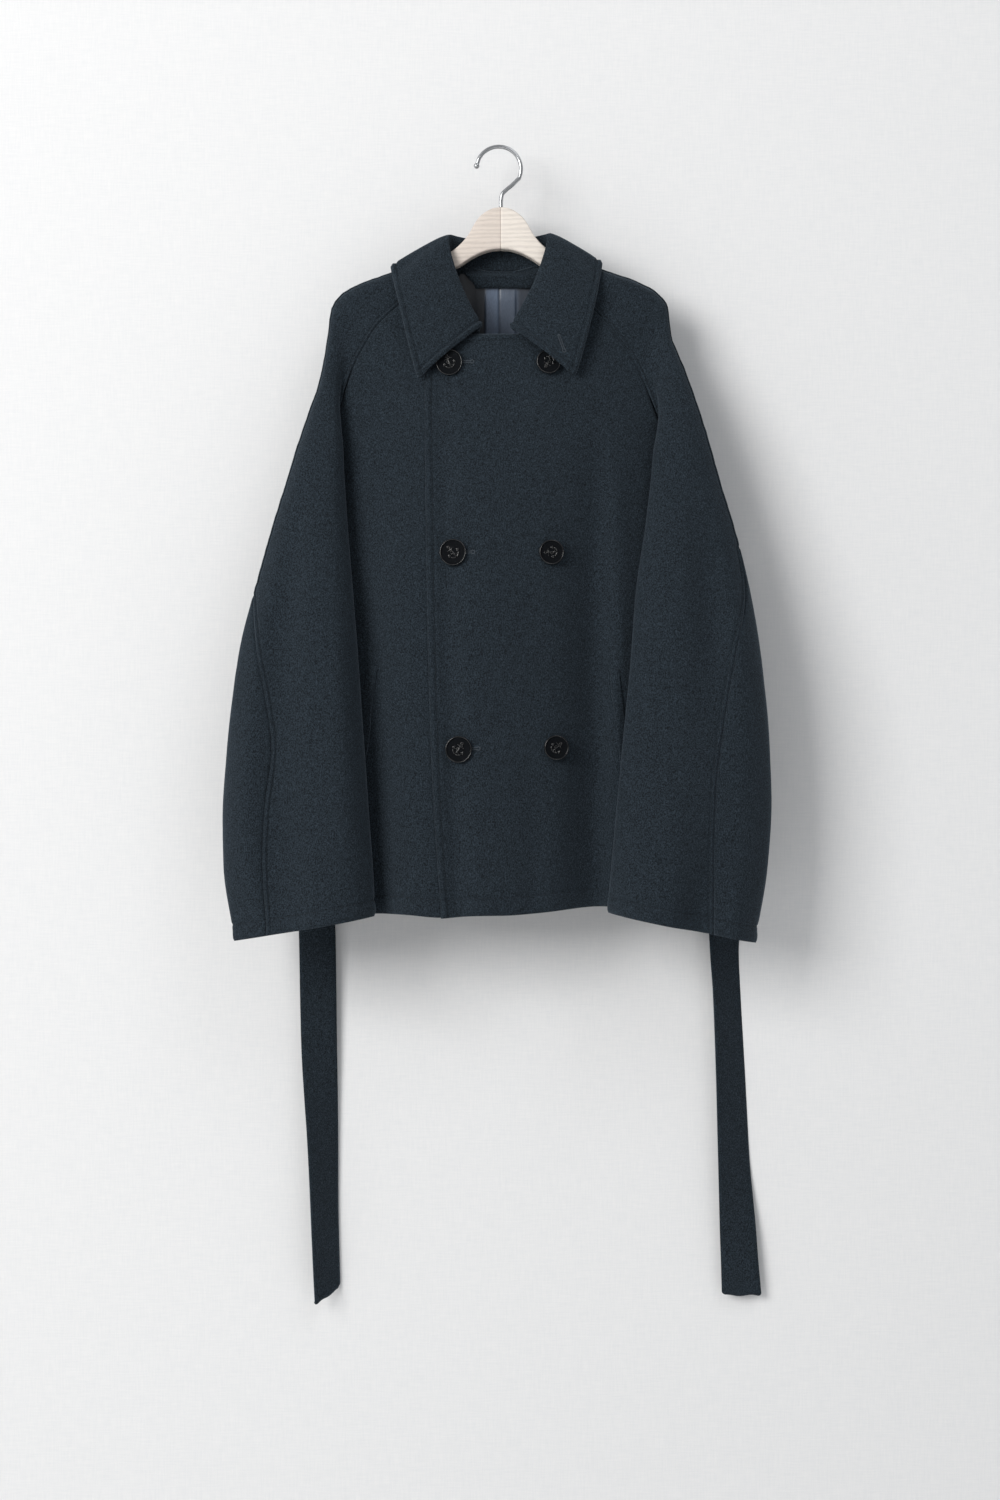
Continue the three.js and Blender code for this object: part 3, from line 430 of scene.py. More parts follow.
def through(keys, at):
    """Points on centripetal curves through keys[key, row], one for each row, at key number at."""
    i = np.clip(np.floor(at).astype(int), 0, len(keys) - 2)
    more = np.concatenate([2 * keys[:1] - keys[1:2], keys, 2 * keys[-1:] - keys[-2:-1]])
    row = np.arange(keys.shape[1])
    a, b, c, d = (more[i + k, row] for k in range(4))
    u, v, w = (np.linalg.norm(q - p, axis=1, keepdims=True) ** 0.5 for p, q in ((a, b), (b, c), (c, d)))
    v = np.where(v < 1e-2, 1, v)
    u = np.where(u < 1e-2, v, u)
    w = np.where(w < 1e-2, v, w)
    start = v * ((b - a) / u - (c - a) / (u + v) + (c - b) / v)
    end = v * ((c - b) / v - (d - b) / (v + w) + (d - c) / w)
    t = (at - i)[:, None]
    return b + start * t + (3 * (c - b) - 2 * start - end) * t**2 + (2 * (b - c) + start + end) * t**3


def drop_share(down):
    return (np.maximum(down, 0) / DROP_ROWS) ** 1.25


def seam_point(side, row):
    x = read(YOKE[side], "seamX", row) * side
    z = read(YOKE[side], "seamZ", row)
    return xyz(x, np.where(row >= YOKE_ROWS, SIDE_Y, skin(x, z, -1)), z)


def rear_point(side, row):
    x = read(REAR, "x", row) * side
    z = read(REAR, "z", row)
    return xyz(x, np.where(row >= YOKE_ROWS, SIDE_Y, skin(x, z, 1)), z)


def inner_face(x, z):
    """Depth of the sleeve's face that lies on the body."""
    reach = 0.84 * read(BODY, "half", z)
    a = abs(x)
    held = np.clip(reach - 14 * np.log1p(np.exp((reach - a) / 14)), 0, reach)
    clear = SLEEVE_CLEARANCE + 7 * smooth((a - 150) / 25) * smooth((-470 - z) / 90)
    return skin(np.sign(x) * held, z, -1) - clear


def sleeve_ring(side, level, z, fold_x, out_x, depth, inner, outer, seam_x, seam):
    """Key points round a hanging sleeve, from its seam over the outside and back."""
    wide = out_x - fold_x

    def at(x, back):
        t = np.clip((x - fold_x) / wide, 0, 1)
        low = lerp(inner, outer, t)
        return xyz(side * x, inner_face(side * x, low) - back, low)

    def puffed(share, part):
        x = fold_x + share * wide
        return at(x, depth * part + folds("left" if side < 0 else "right", side * x, z))

    start = at(seam_x - lerp(0.12, 0.2, smooth((level - 8.5) / 1.5)) * (seam_x - fold_x), 0)
    start[:, 1] = lerp(seam[:, 1], start[:, 1], 0.62)
    nose = inner_face(side * (out_x - 6), outer) - depth * 0.3
    return np.stack(
        [
            seam,
            start,
            at(fold_x + 0.1 * wide, 0.5),
            at(fold_x, depth * 0.42),
            puffed(0.13, 0.86),
            puffed(0.38, 1),
            puffed(0.62, 1),
            puffed(0.84, 0.84),
            xyz(side * out_x, nose, outer),
            at(fold_x + 0.86 * wide, 0.5),
            at(fold_x + 0.6 * wide, 0),
            seam,
        ]
    )


def hanging_keys(side, level):
    """Key points of a sleeve below the underarm."""
    t = drop_share(level - YOKE_ROWS)
    inner = lerp(UNDERARM_Z, sleeve_hem_z(side, 130), t)
    outer = lerp(-384, sleeve_hem_z(side, 295), t)
    mid = (inner + outer) / 2
    arm = SLEEVE[side]
    seam_x = 202 + 12 * t
    near = smooth(t * 9)
    seam_y = lerp(SIDE_Y - 3, inner_face(side * seam_x, inner), near)
    seam = xyz(side * seam_x, seam_y, lerp(inner, outer, 0.4 * near))
    fold_x, out_x = read(arm, "foldX", inner), read(arm, "outX", outer)
    depth = read(arm, "depth", mid)
    return sleeve_ring(side, level, mid, fold_x, out_x, depth, inner, outer, seam_x, seam)


def yoke_keys(side, level):
    """Key points of a sleeve above the underarm, open along the raglan seams."""
    yoke = YOKE[side]
    front, rear = seam_point(side, level), rear_point(side, level)
    fold_x, out_x, out_z, overlap = (read(yoke, k, level) for k in ("foldX", "outX", "outZ", "overlap"))

    def open_at(start, share, sign):
        x = lerp(start[:, 0], side * out_x, share)
        z = lerp(start[:, 2], out_z, share)
        return xyz(x, skin(x, z, sign), z)

    over = [open_at(front, f, -1) for f in (0.05, 0.13, 0.26, 0.42, 0.6, 0.78, 0.92)]
    edge = xyz(side * out_x, -12 * smooth((level - 6) / 4), out_z)
    opened = np.stack([front, *over, edge, open_at(rear, 0.75, 1), open_at(rear, 0.38, 1), rear])
    z, seam_x = front[:, 2], front[:, 0] * side
    closed = sleeve_ring(side, level, z, fold_x, out_x, 26, z, out_z, seam_x, front)
    share = np.stack([overlap * 0, *[overlap] * 8, *[overlap**2] * 2, overlap * 0])[..., None]
    return lerp(opened, closed, share)


def sleeve_keys(side, level):
    """Key points of a whole sleeve; below the underarm its two forms run into each other."""
    meet = np.array([float(YOKE_ROWS)])
    step = yoke_keys(side, meet) - hanging_keys(side, meet)
    fade = (1 - smooth((level - YOKE_ROWS) / 3))[None, :, None]
    below = hanging_keys(side, level) + step * fade
    return np.where((level > YOKE_ROWS)[None, :, None], below, yoke_keys(side, level))


def lanes(width, step, start, end):
    """Shares of a width, step apart, and 1.2 mm apart within start and end of its borders."""
    fine = 1.2
    places = [0.0]
    while places[-1] < width:
        plain = min(places[-1] - start, width - places[-1] - end)
        places.append(places[-1] + (fine if plain < 0 else min(step, fine + 0.25 * plain)))
    return np.array(places) / places[-1]


def levels_of():
    """Row numbers from the neck to the hem, close where stitching crosses them."""
    neck = np.arange(0, 1, 0.075)
    yoke = np.arange(1, YOKE_ROWS, 0.2)
    return np.concatenate([neck, yoke, YOKE_ROWS + DROP_ROWS * lanes(500, 6, 0, 26) ** 0.8])


def sleeve_grids(side, levels):
    """Both halves of a sleeve as grids of points, parted where the overarm seam lies."""
    keys = sleeve_keys(side, levels)
    hanging = levels > YOKE_ROWS
    out_x = abs(keys[8, :, 0])
    seam_x = np.where(hanging, read(SLEEVE[side], "overX", keys[8, :, 2]), out_x)
    low, high = np.full(len(levels), 4.0), np.full(len(levels), 8.0)
    for _ in range(30):
        mid = (low + high) / 2
        short = abs(through(keys, mid)[:, 0]) < seam_x
        low, high = np.where(short, mid, low), np.where(short, high, mid)
    over = np.where(out_x - seam_x > 1, (low + high) / 2, 8.0)

    def columns(ats):
        return np.stack([through(keys, at) for at in ats], axis=1)

    inside = [np.full(len(levels), 4 * s) for s in np.linspace(0, 1, 33)[:-1]]
    outside = [lerp(4.0, over, s) for s in lanes(125, 3.4, 0, 12)]
    turned = [lerp(over, 9.0, s) for s in lanes(60, 4, 2, 0)]
    under = [np.full(len(levels), 9 + 2 * s) for s in lanes(110, 5, 0, 2)[1:]]
    return columns(inside + outside), columns(turned + under)


def front_grid(top, levels, shares):
    """A front from its closing edge to the raglan or side seam."""
    side = 1 if top else -1
    level, u0 = np.meshgrid(levels, shares, indexing="ij")
    upper = level <= YOKE_ROWS
    t = np.where(upper, level / YOKE_ROWS, drop_share(level - YOKE_ROWS))
    drop = 0 if top else 3
    edge_hem = hem_z(-65 if top else 78) + drop
    edge_z = np.where(
        upper, lerp(-214.5 if top else -217, UNDERARM_Z, t), lerp(UNDERARM_Z, edge_hem, t)
    )
    edge_x = read(LAP_EDGE, "x", edge_z) if top else under_edge(edge_z)
    u = lerp(u0, np.sin(u0 * np.pi / 2), 0.45 * smooth((level - 5) / 5))
    outer = seam_point(side, np.minimum(levels, YOKE_ROWS))[:, None]
    corner = 0.72 if top else 0.47
    rise = np.clip((u - corner) / (1 - corner), 0, 1) ** 1.25
    side_z = lerp(UNDERARM_Z, hem_z(side * 200), t)
    x = lerp(edge_x, np.where(upper, outer[..., 0], side * read(BODY, "half", side_z)), u)
    low_z = lerp(UNDERARM_Z, hem_z(x) + (0 if top else 1.5) * (1 - u), t)
    z = np.where(upper, lerp(edge_z, outer[..., 2], rise), low_z)
    return xyz(x, top_skin(x, z) if top else skin(x, z, -1), z)


def back_grid(levels, shares):
    level, even = np.meshgrid(levels, 2 * shares - 1, indexing="ij")
    side = np.where(even < 0, -1, 1)
    upper = level <= YOKE_ROWS
    t = np.where(upper, level / YOKE_ROWS, drop_share(level - YOKE_ROWS))
    u = lerp(even, np.sin(even * np.pi / 2), 0.45 * smooth((level - 5) / 5))
    row = np.minimum(level, YOKE_ROWS)
    rear_x, rear_z = read(REAR, "x", row), read(REAR, "z", row)
    hem = lerp(UNDERARM_Z, hem_z(side * 200), t)
    z = np.where(upper, lerp(lerp(-136, UNDERARM_Z, t), rear_z, abs(u) ** 2), hem)
    x = np.where(upper, u * rear_x, u * read(BODY, "half", hem))
    return xyz(x, skin(x, z, 1), z)


# Collar: neck is the sewn edge, roll the top of the roll, edge the outer edge of the fall
COLLAR = table(
    "at neckX neckY neckZ rollX rollY rollZ edgeX edgeY edgeZ swell",
    [
        [0, -24, -31, -212, -20, -35, -206, -93, -48, -267, 6],
        [0.1, -38, -25, -187, -34.5, -31, -180, -99.5, -46, -242, 5],
        [0.2, -48, -17, -158.5, -48, -25, -148, -108, -42, -207, 4],
        [0.28, -55.5, -13.5, -134, -56.5, -17, -119, -117, -31, -169, 3],
        [0.32, -58.5, -10.5, -117, -59.5, -11.5, -104, -122, -19, -149, 2.5],
        [0.35, -59.5, -2, -113, -59.5, -5, -98.5, -125, -8, -133.5, 2],
        [0.385, -55, 8.5, -120, -55, 4, -96.5, -117, 10, -134, 2],
        [0.42, -46, 12, -131, -46, 11, -97.5, -103, 22, -140, 2],
        [0.46, -25, 15, -134, -25, 16, -100, -60, 29, -167, 2],
        [0.5, 0, 16, -135, 0, 17.5, -101.5, 0, 32, -175, 2],
        [0.54, 25, 15, -134, 24, 16, -100, 58, 29, -166, 2],
        [0.58, 46, 12, -131, 43, 11, -96, 96, 22, -137, 2],
        [0.615, 55, 8.5, -120, 51, 4, -95.5, 109, 10, -131, 2],
        [0.65, 59.5, -2, -113, 54.5, -5, -96.5, 115, -8, -130, 2],
        [0.68, 58.5, -10.5, -117, 53, -11.5, -103, 112, -19, -147, 2.5],
        [0.72, 55.5, -13.5, -134, 49, -17, -119, 108, -31, -169, 3],
        [0.8, 44.5, -18, -162, 38.5, -26, -151, 99, -42, -207, 4],
        [0.9, 31, -27, -190, 24, -32, -181, 90.5, -46, -240, 5],
        [1, 17, -31, -212, 9, -35, -207, 83, -48, -264, 6],
    ],
)
ROLL_RADIUS = 5


def unit(v):
    return v / np.maximum(np.linalg.norm(v, axis=-1, keepdims=True), 1e-9)


def collar_grid(along, shares):
    def three(name, at):
        return xyz(*(read(COLLAR, name + axis, at) for axis in "XYZ"))

    roll, edge, neck = (three(name, along) for name in ("roll", "edge", "neck"))
    run = three("roll", np.minimum(along + 0.01, 1)) - three("roll", np.maximum(along - 0.01, 0))
    run[:, 2] = 0
    run = unit(run)
    inward = xyz(run[:, 1], -run[:, 0], 0 * along)
    bend = roll - unit(roll - edge) * ROLL_RADIUS
    within, outside = bend + inward * ROLL_RADIUS * 0.9, bend - inward * ROLL_RADIUS * 0.9
    mid = lerp(outside, edge, 0.5) - inward * read(COLLAR, "swell", along)[:, None]
    keys = np.stack([neck, within, roll, outside, mid, edge])
    return np.stack([through(keys, np.full(len(along), 5 * s)) for s in shares], axis=1)


def grid_normals(grid, sign):
    """Normals of a grid of points, averaged over the squares round each point."""
    face = np.cross(grid[1:, 1:] - grid[:-1, :-1], grid[1:, :-1] - grid[:-1, 1:]) * sign
    face = unit(face)
    total = np.zeros_like(grid)
    for rows in (slice(None, -1), slice(1, None)):
        for columns in (slice(None, -1), slice(1, None)):
            total[rows, columns] += face
    return unit(total)


def borders(grid):
    """Millimetres along the cloth from each point to the grid's first and last column and row."""
    across = np.linalg.norm(np.diff(grid, axis=1), axis=2)
    across = np.concatenate([np.zeros((len(grid), 1)), np.cumsum(across, axis=1)], axis=1)
    down = np.linalg.norm(np.diff(grid, axis=0), axis=2)
    down = np.concatenate([np.zeros((1, grid.shape[1])), np.cumsum(down, axis=0)], axis=0)
    return {
        "start": across,
        "end": across[:, -1:] - across,
        "top": down,
        "bottom": down[-1:] - down,
    }


def round_corner(grid, row, column, radius):
    """Rounds a corner of a grid: row and column are 0 or -1, radius is in millimetres."""
    near = borders(grid)
    d, e = near["bottom" if row else "top"], near["end" if column else "start"]
    a, b = (np.clip(1 - v / radius, 0, 1) for v in (d, e))
    shrink = 1 - np.maximum(a, b) / np.maximum(np.hypot(a, b), 1e-6)
    shrink = np.where((a > 0) & (b > 0), shrink, 0)[..., None]
    corner = grid[row, column]
    down = unit(grid[row + (-3 if row else 3), column] - corner)
    across = unit(grid[row, column + (-3 if column else 3)] - corner)
    return grid + shrink * radius * (a[..., None] * down + b[..., None] * across)


def wobble(s, seed, scale):
    """A smooth uneven line between about -1 and 1, with bumps about scale long."""
    rng = np.random.default_rng(seed)
    total = 0
    for _ in range(5):
        total = total + np.sin(s * 2 * np.pi / (scale * rng.uniform(0.6, 1.9)) + rng.uniform(0, 6.28))
    return total / 2.6

SEAM_TURN = 1.3
STITCH_DIP = 0.95


def relief(grid, seams, seed, puff=1.0):
    """How far the cloth stands off its form: seams turn in, and sewing draws it down.

    seams is a list of borders, each with the distance of the stitching from it, or None;
    puff says how much the doubled cloth swells between the two."""
    near = borders(grid)
    off = np.zeros(grid.shape[:2])
    for k, (border, stitched) in enumerate(seams):
        d = near[border]
        along = near["top"] if border in ("start", "end") else near["start"]
        off -= SEAM_TURN * bump(d / 1.9)
        if stitched:
            off -= puff * STITCH_DIP * bump((d - stitched) / 1.5)
            off += puff * 0.55 * bump((d - stitched * 0.5) / (stitched * 0.28))
            off += 0.3 * wobble(along, seed + k, 15) * bump((d - stitched) / 6)
    return off


def grid_into(bm, grid):
    """Adds a grid of points, in millimetres, as faces."""
    rows, columns = grid.shape[:2]
    made = bmesh.ops.create_grid(bm, x_segments=columns - 1, y_segments=rows - 1, size=0.5)["verts"]
    for v in made:
        j, i = round((v.co.x + 0.5) * (columns - 1)), round((v.co.y + 0.5) * (rows - 1))
        v.co = Vector(grid[i, j]) * MM
    return made


def shell(name, grid, sign, thickness, material, rounds=0):
    """A sheet of cloth over a grid of points, walled inwards."""
    bm = bmesh.new()
    grid_into(bm, grid)
    if sign < 0:
        bmesh.ops.reverse_faces(bm, faces=bm.faces)
    piece = finished(name, bm, material)
    wall = piece.modifiers.new("Cloth thickness", "SOLIDIFY")
    wall.thickness = thickness
    wall.offset = -1
    wall.use_even_offset = False
    if rounds:
        soften = piece.modifiers.new("Soft edges", "SUBSURF")
        soften.levels = soften.render_levels = rounds
    return piece


def rod(bm, points, radii, around=10, squash=1.0, face=(0, 0, 1)):
    """A closed bar along points, round or flattened along face."""
    points, radii = np.asarray(points, float), np.asarray(radii, float)[:, None, None]
    run = unit(np.gradient(points, axis=0))
    wide = unit(np.cross(run, np.asarray(face, float)))
    high = np.cross(wide, run)
    a = np.linspace(0, 2 * np.pi, around + 1)[None, :, None]
    ring = np.cos(a) * wide[:, None] + squash * np.sin(a) * high[:, None]
    rings = points[:, None] + radii * ring
    first, last = (np.repeat(points[k][None, None], around + 1, axis=1) for k in (0, -1))
    made = grid_into(bm, np.concatenate([first, rings, last]))
    bmesh.ops.remove_doubles(bm, verts=made, dist=1e-7)


def rounded(radius, count, ends=(1, 1)):
    """Radii along a bar whose ends swell from nothing like half a ball."""
    t = np.linspace(0, 1, count)
    start, end = (np.sqrt(1 - (1 - np.clip(s * count / 4, 0, 1)) ** 2) for s in (t, 1 - t))
    first, last = (np.where(end_on, np.maximum(v, 0.05), 1) for end_on, v in zip(ends, (start, end)))
    return radius * first * last


def finished(name, bm, material):
    """The mesh as an object in the coat's frame that rides on its body."""
    mesh = bpy.data.meshes.new(name)
    bm.to_mesh(mesh)
    bm.free()
    mesh.polygons.foreach_set("use_smooth", [True] * len(mesh.polygons))
    piece = bpy.data.objects.new(name, mesh)
    bpy.context.scene.collection.objects.link(piece)
    mesh.materials.append(material)
    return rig.ride(piece, "root")


def stand_for(piece, slot, *nodes):
    if nodes:
        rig.replaces(piece, *nodes)
    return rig.slot(piece, slot)


def node(tree, kind, settings=None, **sockets):
    """Adds a shader node, sets it, and sets or links its sockets."""
    made = tree.nodes.new(kind)
    for name, value in (settings or {}).items():
        setattr(made, name, value)
    for name, value in sockets.items():
        socket = made.inputs[int(name[1:]) if name[1:].isdigit() else name.replace("_", " ")]
        if isinstance(value, bpy.types.NodeSocket):
            tree.links.new(value, socket)
        else:
            socket.default_value = value
    return made


def material(name, **sockets):
    """A new material with its tree, its shader and object coordinates."""
    made = bpy.data.materials.new(name)
    made.use_nodes = True
    tree = made.node_tree
    shader = tree.nodes["Principled BSDF"]
    for key, value in sockets.items():
        shader.inputs[key.replace("_", " ")].default_value = value
    place = node(tree, "ShaderNodeTexCoord").outputs["Object"]
    return made, tree, shader, place


def stretched(tree, place, x=1.0, y=1.0, z=1.0):
    """Coordinates that grow slowly along an axis, so that marks on them run long that way."""
    return node(tree, "ShaderNodeMapping", Vector=place, Scale=(x, y, z)).outputs[0]


def noise(tree, place, size_mm, detail=3, rough=0.55):
    """Noise whose largest lumps are about size_mm wide."""
    return node(
        tree, "ShaderNodeTexNoise", Vector=place, Scale=1000 / size_mm, Detail=detail, Roughness=rough
    ).outputs["Fac"]


def ramp(tree, value, *stops):
    made = node(tree, "ShaderNodeValToRGB", Fac=value)
    points = made.color_ramp.elements
    while len(points) < len(stops):
        points.new(0.5)
    for point, (at, colour) in zip(points, stops):
        point.position = at
        point.color = (*colour, 1)
    return made.outputs["Color"]


def shades(tree, value, colour, *stops):
    """A ramp between darker and lighter shades of a colour."""
    return ramp(tree, value, *((at, [c * share for c in colour]) for at, share in stops))


def mixed(tree, kind, share, a, b):
    """Two colours blended in the way named."""
    made = node(tree, "ShaderNodeMix", {"data_type": "RGBA", "blend_type": kind}, _0=share, _6=a, _7=b)
    return made.outputs[2]


def bumped(tree, shader, *layers):
    """Stacks bump layers, each a height and how high it stands in millimetres."""
    normal = None
    for height, high_mm in layers:
        made = node(tree, "ShaderNodeBump", Height=height, Distance=high_mm * MM, Strength=1.0)
        if normal:
            tree.links.new(normal, made.inputs["Normal"])
        normal = made.outputs["Normal"]
    tree.links.new(normal, shader.inputs["Normal"])


def melton():
    """Wool melton, fulled and napped: matt, with a short pale nap that lightens its turned edges."""
    made, tree, shader, place = material(
        "Wool melton, fulled and napped",
        Roughness=0.95,
        Sheen_Weight=0.3,
        Sheen_Roughness=0.45,
        Sheen_Tint=(*hex_colour("#93a3b2"), 1),
        Specular_IOR_Level=0.12,
    )
    colour = looks().cloth
    clumps = noise(tree, place, 5, 2, 0.5)
    nap = noise(tree, stretched(tree, place, 1, 1, 0.7), 1.1, 2, 0.7)
    hairs = noise(tree, stretched(tree, place, 1.2, 1.2, 0.4), 0.8, 2, 0.6)
    base = shades(tree, nap, colour, (0.34, 0.28), (0.5, 1.0), (0.66, 2.1))
    soft = ramp(tree, clumps, (0.35, (0.95, 0.95, 0.95)), (0.65, (1.05, 1.05, 1.05)))
    lint = ramp(tree, hairs, (0.6, (0, 0, 0)), (0.8, [4 * c for c in colour]))
    tint = mixed(tree, "ADD", 0.22, mixed(tree, "MULTIPLY", 1.0, base, soft), lint)
    tree.links.new(tint, shader.inputs["Base Color"])
    bumped(tree, shader, (clumps, 0.16), (nap, 0.38), (hairs, 0.16))
    return made


# Painted light and shade on the lining over its middle 60 mm, set by place across the back: a painted highlight on the
# pleat, a painted dark line along its centre crease, and painted shade at both sides, darkest at the left
PLEAT_TONES = [
    *((0, 0.18), (0.18, 0.22), (0.24, 1.7), (0.43, 1.9), (0.47, 0.8)),
    *((0.5, 1.2), (0.78, 1.0), (0.86, 0.45), (1, 0.4)),
]


def satin():
    """Satin lining: long floats give it faint upright streaks, lighter and darker at random; over the middle of the
    back it carries painted light and shade, a painted highlight on the pleat and painted shade at its sides.
    """
    made, tree, shader, place = material("Satin lining, warp-faced", Roughness=0.38, Sheen_Weight=0.1)
    floats = noise(tree, stretched(tree, place, 1, 1, 0.02), 0.7, 2)
    tint = shades(tree, floats, looks().lining, (0.3, 0.85), (0.7, 1.15))
    # Painted highlight on the pleat and painted shade at its sides, laid into the colour by place across the back
    across = node(tree, "ShaderNodeSeparateXYZ", _0=place).outputs["X"]
    turned = node(tree, "ShaderNodeMapRange", Value=across, From_Min=-0.03, From_Max=0.03).outputs[0]
    pressed = ramp(tree, turned, *((at, (share,) * 3) for at, share in PLEAT_TONES))
    tree.links.new(mixed(tree, "MULTIPLY", 1.0, tint, pressed), shader.inputs["Base Color"])
    ripple = noise(tree, stretched(tree, place, 1, 1, 0.2), 14, 2)
    bumped(tree, shader, (ripple, 0.5), (floats, 0.02))
    return made


def beech():
    """Beech, sanded and left bare: pale, with wavy growth lines along the arm and short pores, and painted shade that
    darkens the left arm.
    """
    made, tree, shader, place = material("Beech, sanded bare", Roughness=0.55, Specular_IOR_Level=0.35)
    long = stretched(tree, place, 0.16, 0.6, 1)
    rings = node(
        tree,
        "ShaderNodeTexWave",
        {"bands_direction": "Z"},
        Vector=long,
        Scale=58,
        Distortion=6.5,
        Detail=3,
        Detail_Scale=1.6,
        Detail_Roughness=0.55,
    ).outputs["Fac"]
    pores = noise(tree, stretched(tree, place, 0.1, 1, 1), 0.8, 2)
    wood = shades(tree, rings, looks().wood, (0.1, 0.9), (0.55, 1.0), (0.95, 1.03))
    flecks = ramp(tree, pores, (0.3, (0.88, 0.86, 0.84)), (0.46, (1, 1, 1)))
    grained = mixed(tree, "MULTIPLY", 0.8, wood, flecks)
    # Painted shade: the left arm is coloured darker than the right, standing in for light that falls on the two arms
    # differently
    along = node(tree, "ShaderNodeSeparateXYZ", _0=place).outputs["X"]
    board = node(tree, "ShaderNodeMapRange", Value=along, From_Min=-0.0003, From_Max=0.0003).outputs[0]
    boards = ramp(tree, board, (0.0, (0.86, 0.83, 0.82)), (1.0, (1, 1, 1)))
    tree.links.new(mixed(tree, "MULTIPLY", 1.0, grained, boards), shader.inputs["Base Color"])
    bumped(tree, shader, (rings, 0.04), (pores, 0.05))
    return made


def steel():
    """Nickel-plated steel wire, drawn and polished: bright, with faint marks along it."""
    made, tree, shader, place = material("Nickel-plated steel wire", Metallic=1.0, Roughness=0.22)
    marks = noise(tree, place, 1.2)
    tint = shades(tree, marks, hex_colour("#b4b6b8"), (0.3, 0.82), (0.7, 1.1))
    tree.links.new(tint, shader.inputs["Base Color"])
    bumped(tree, shader, (marks, 0.01))
    return made


def resin():
    """Cast polyester button resin, polished: black with a clear gloss, duller in its hollows."""
    made, tree, shader, place = material("Button resin, cast and polished", IOR=1.55)
    cloud = noise(tree, place, 3.5)
    tint = shades(tree, cloud, looks().button, (0.3, 0.7), (0.7, 1.3))
    tree.links.new(tint, shader.inputs["Base Color"])
    worn = node(tree, "ShaderNodeMapRange", Value=noise(tree, place, 1.1), To_Min=0.14, To_Max=0.26)
    tree.links.new(worn.outputs[0], shader.inputs["Roughness"])
    return made


def resin_field():
    """The same resin in the sunk field, which the polishing wheel doesn't reach: dark and dull."""
    made, tree, shader, place = material(
        "Button resin, unpolished field", Roughness=0.7, Specular_IOR_Level=0.06
    )
    tint = shades(tree, noise(tree, place, 1.2), looks().button, (0.3, 0.8), (0.7, 1.6))
    tree.links.new(tint, shader.inputs["Base Color"])
    return made


def dyed_thread(name, colour, dark, pale):
    made, tree, shader, place = material(name, Roughness=0.75, Specular_IOR_Level=0.2)
    twist = noise(tree, place, 0.6)
    tree.links.new(shades(tree, twist, colour, (0.3, dark), (0.7, pale)), shader.inputs["Base Color"])
    bumped(tree, shader, (twist, 0.05))
    return made


def thread():
    """Twisted polyester thread, a shade darker than the cloth, so it reads as a dotted line."""
    return dyed_thread("Twisted polyester thread", looks().cloth, 0.45, 0.9)


def twist():
    """Buttonhole twist: thicker and paler than the cloth, so it catches the light."""
    return dyed_thread("Buttonhole twist", looks().twist, 0.7, 1.2)


def wallpaper():
    """The backdrop's finish: white and matt, with faint upright and level threads."""
    made, tree, shader, place = material("Linen-look wallpaper, white", Roughness=0.95)
    upright = noise(tree, stretched(tree, place, 1, 1, 0.08), 1.7, 3)
    level = noise(tree, stretched(tree, place, 0.08, 1, 1), 1.7, 3)
    woven = node(tree, "ShaderNodeMath", {"operation": "ADD"}, _0=upright, _1=level).outputs[0]
    half = node(tree, "ShaderNodeMath", {"operation": "MULTIPLY"}, _0=woven, _1=0.5).outputs[0]
    tint = ramp(tree, half, (0.35, hex_colour("#d8d9da")), (0.65, hex_colour("#dfdfdf")))
    tree.links.new(tint, shader.inputs["Base Color"])
    bumped(tree, shader, (half, 0.03))
    unseen = node(tree, "ShaderNodeBsdfTransparent")
    behind = node(tree, "ShaderNodeNewGeometry").outputs["Backfacing"]
    mix = node(tree, "ShaderNodeMixShader", Fac=behind, _1=shader.outputs[0], _2=unseen.outputs[0])
    tree.links.new(mix.outputs[0], tree.nodes["Material Output"].inputs["Surface"])
    return made


FINISHES = {}


def finish_of(name):
    if name not in FINISHES:
        FINISHES[name] = globals()[name]()
    return FINISHES[name]


def colour_of(name, hint, text):
    return bpy.props.FloatVectorProperty(
        name=name, description=hint, default=hex_colour(text), size=3, subtype="COLOR", min=0, max=1
    )


class ClothSettings(bpy.types.PropertyGroup):
    """Sizes of the cloth."""

    thickness: bpy.props.FloatProperty(
        name="Cloth thickness", description="Thickness of the melton", default=0.0022, unit="LENGTH"
    )
    stitch: bpy.props.FloatProperty(
        name="Stitch", description="Length of a stitch, without its gap", default=0.0028, unit="LENGTH"
    )
    pitch: bpy.props.FloatProperty(
        name="Stitch pitch", description="From one stitch to the next", default=0.0037, unit="LENGTH"
    )


class LookSettings(bpy.types.PropertyGroup):
    """Colours of the coat and its hanger."""

    cloth: colour_of("Cloth", "Colour of the melton", "#1d242a")
    lining: colour_of("Lining", "Colour of the satin lining", "#454f5e")
    button: colour_of("Buttons", "Colour of the button resin", "#07090c")
    wood: colour_of("Wood", "Colour of the bare beech", "#dcd4cb")
    twist: colour_of("Buttonhole twist", "Colour of the buttonholes' thread", "#3e454c")


class StageSettings(bpy.types.PropertyGroup):
    """Where the camera stands and its lens."""

    distance: bpy.props.FloatProperty(
        name="Camera distance",
        description="Camera to the hook, along the view",
        default=2.8,
        unit="LENGTH",
    )
    height: bpy.props.FloatProperty(
        name="Camera height", description="Camera above the hook", default=-0.6791, unit="LENGTH"
    )
    lens: bpy.props.FloatProperty(name="Lens", description="Focal length in millimetres", default=59.5)


def cloth():
    return bpy.context.scene.coat_cloth


def looks():
    return bpy.context.scene.coat_looks


STITCH_LINES = []


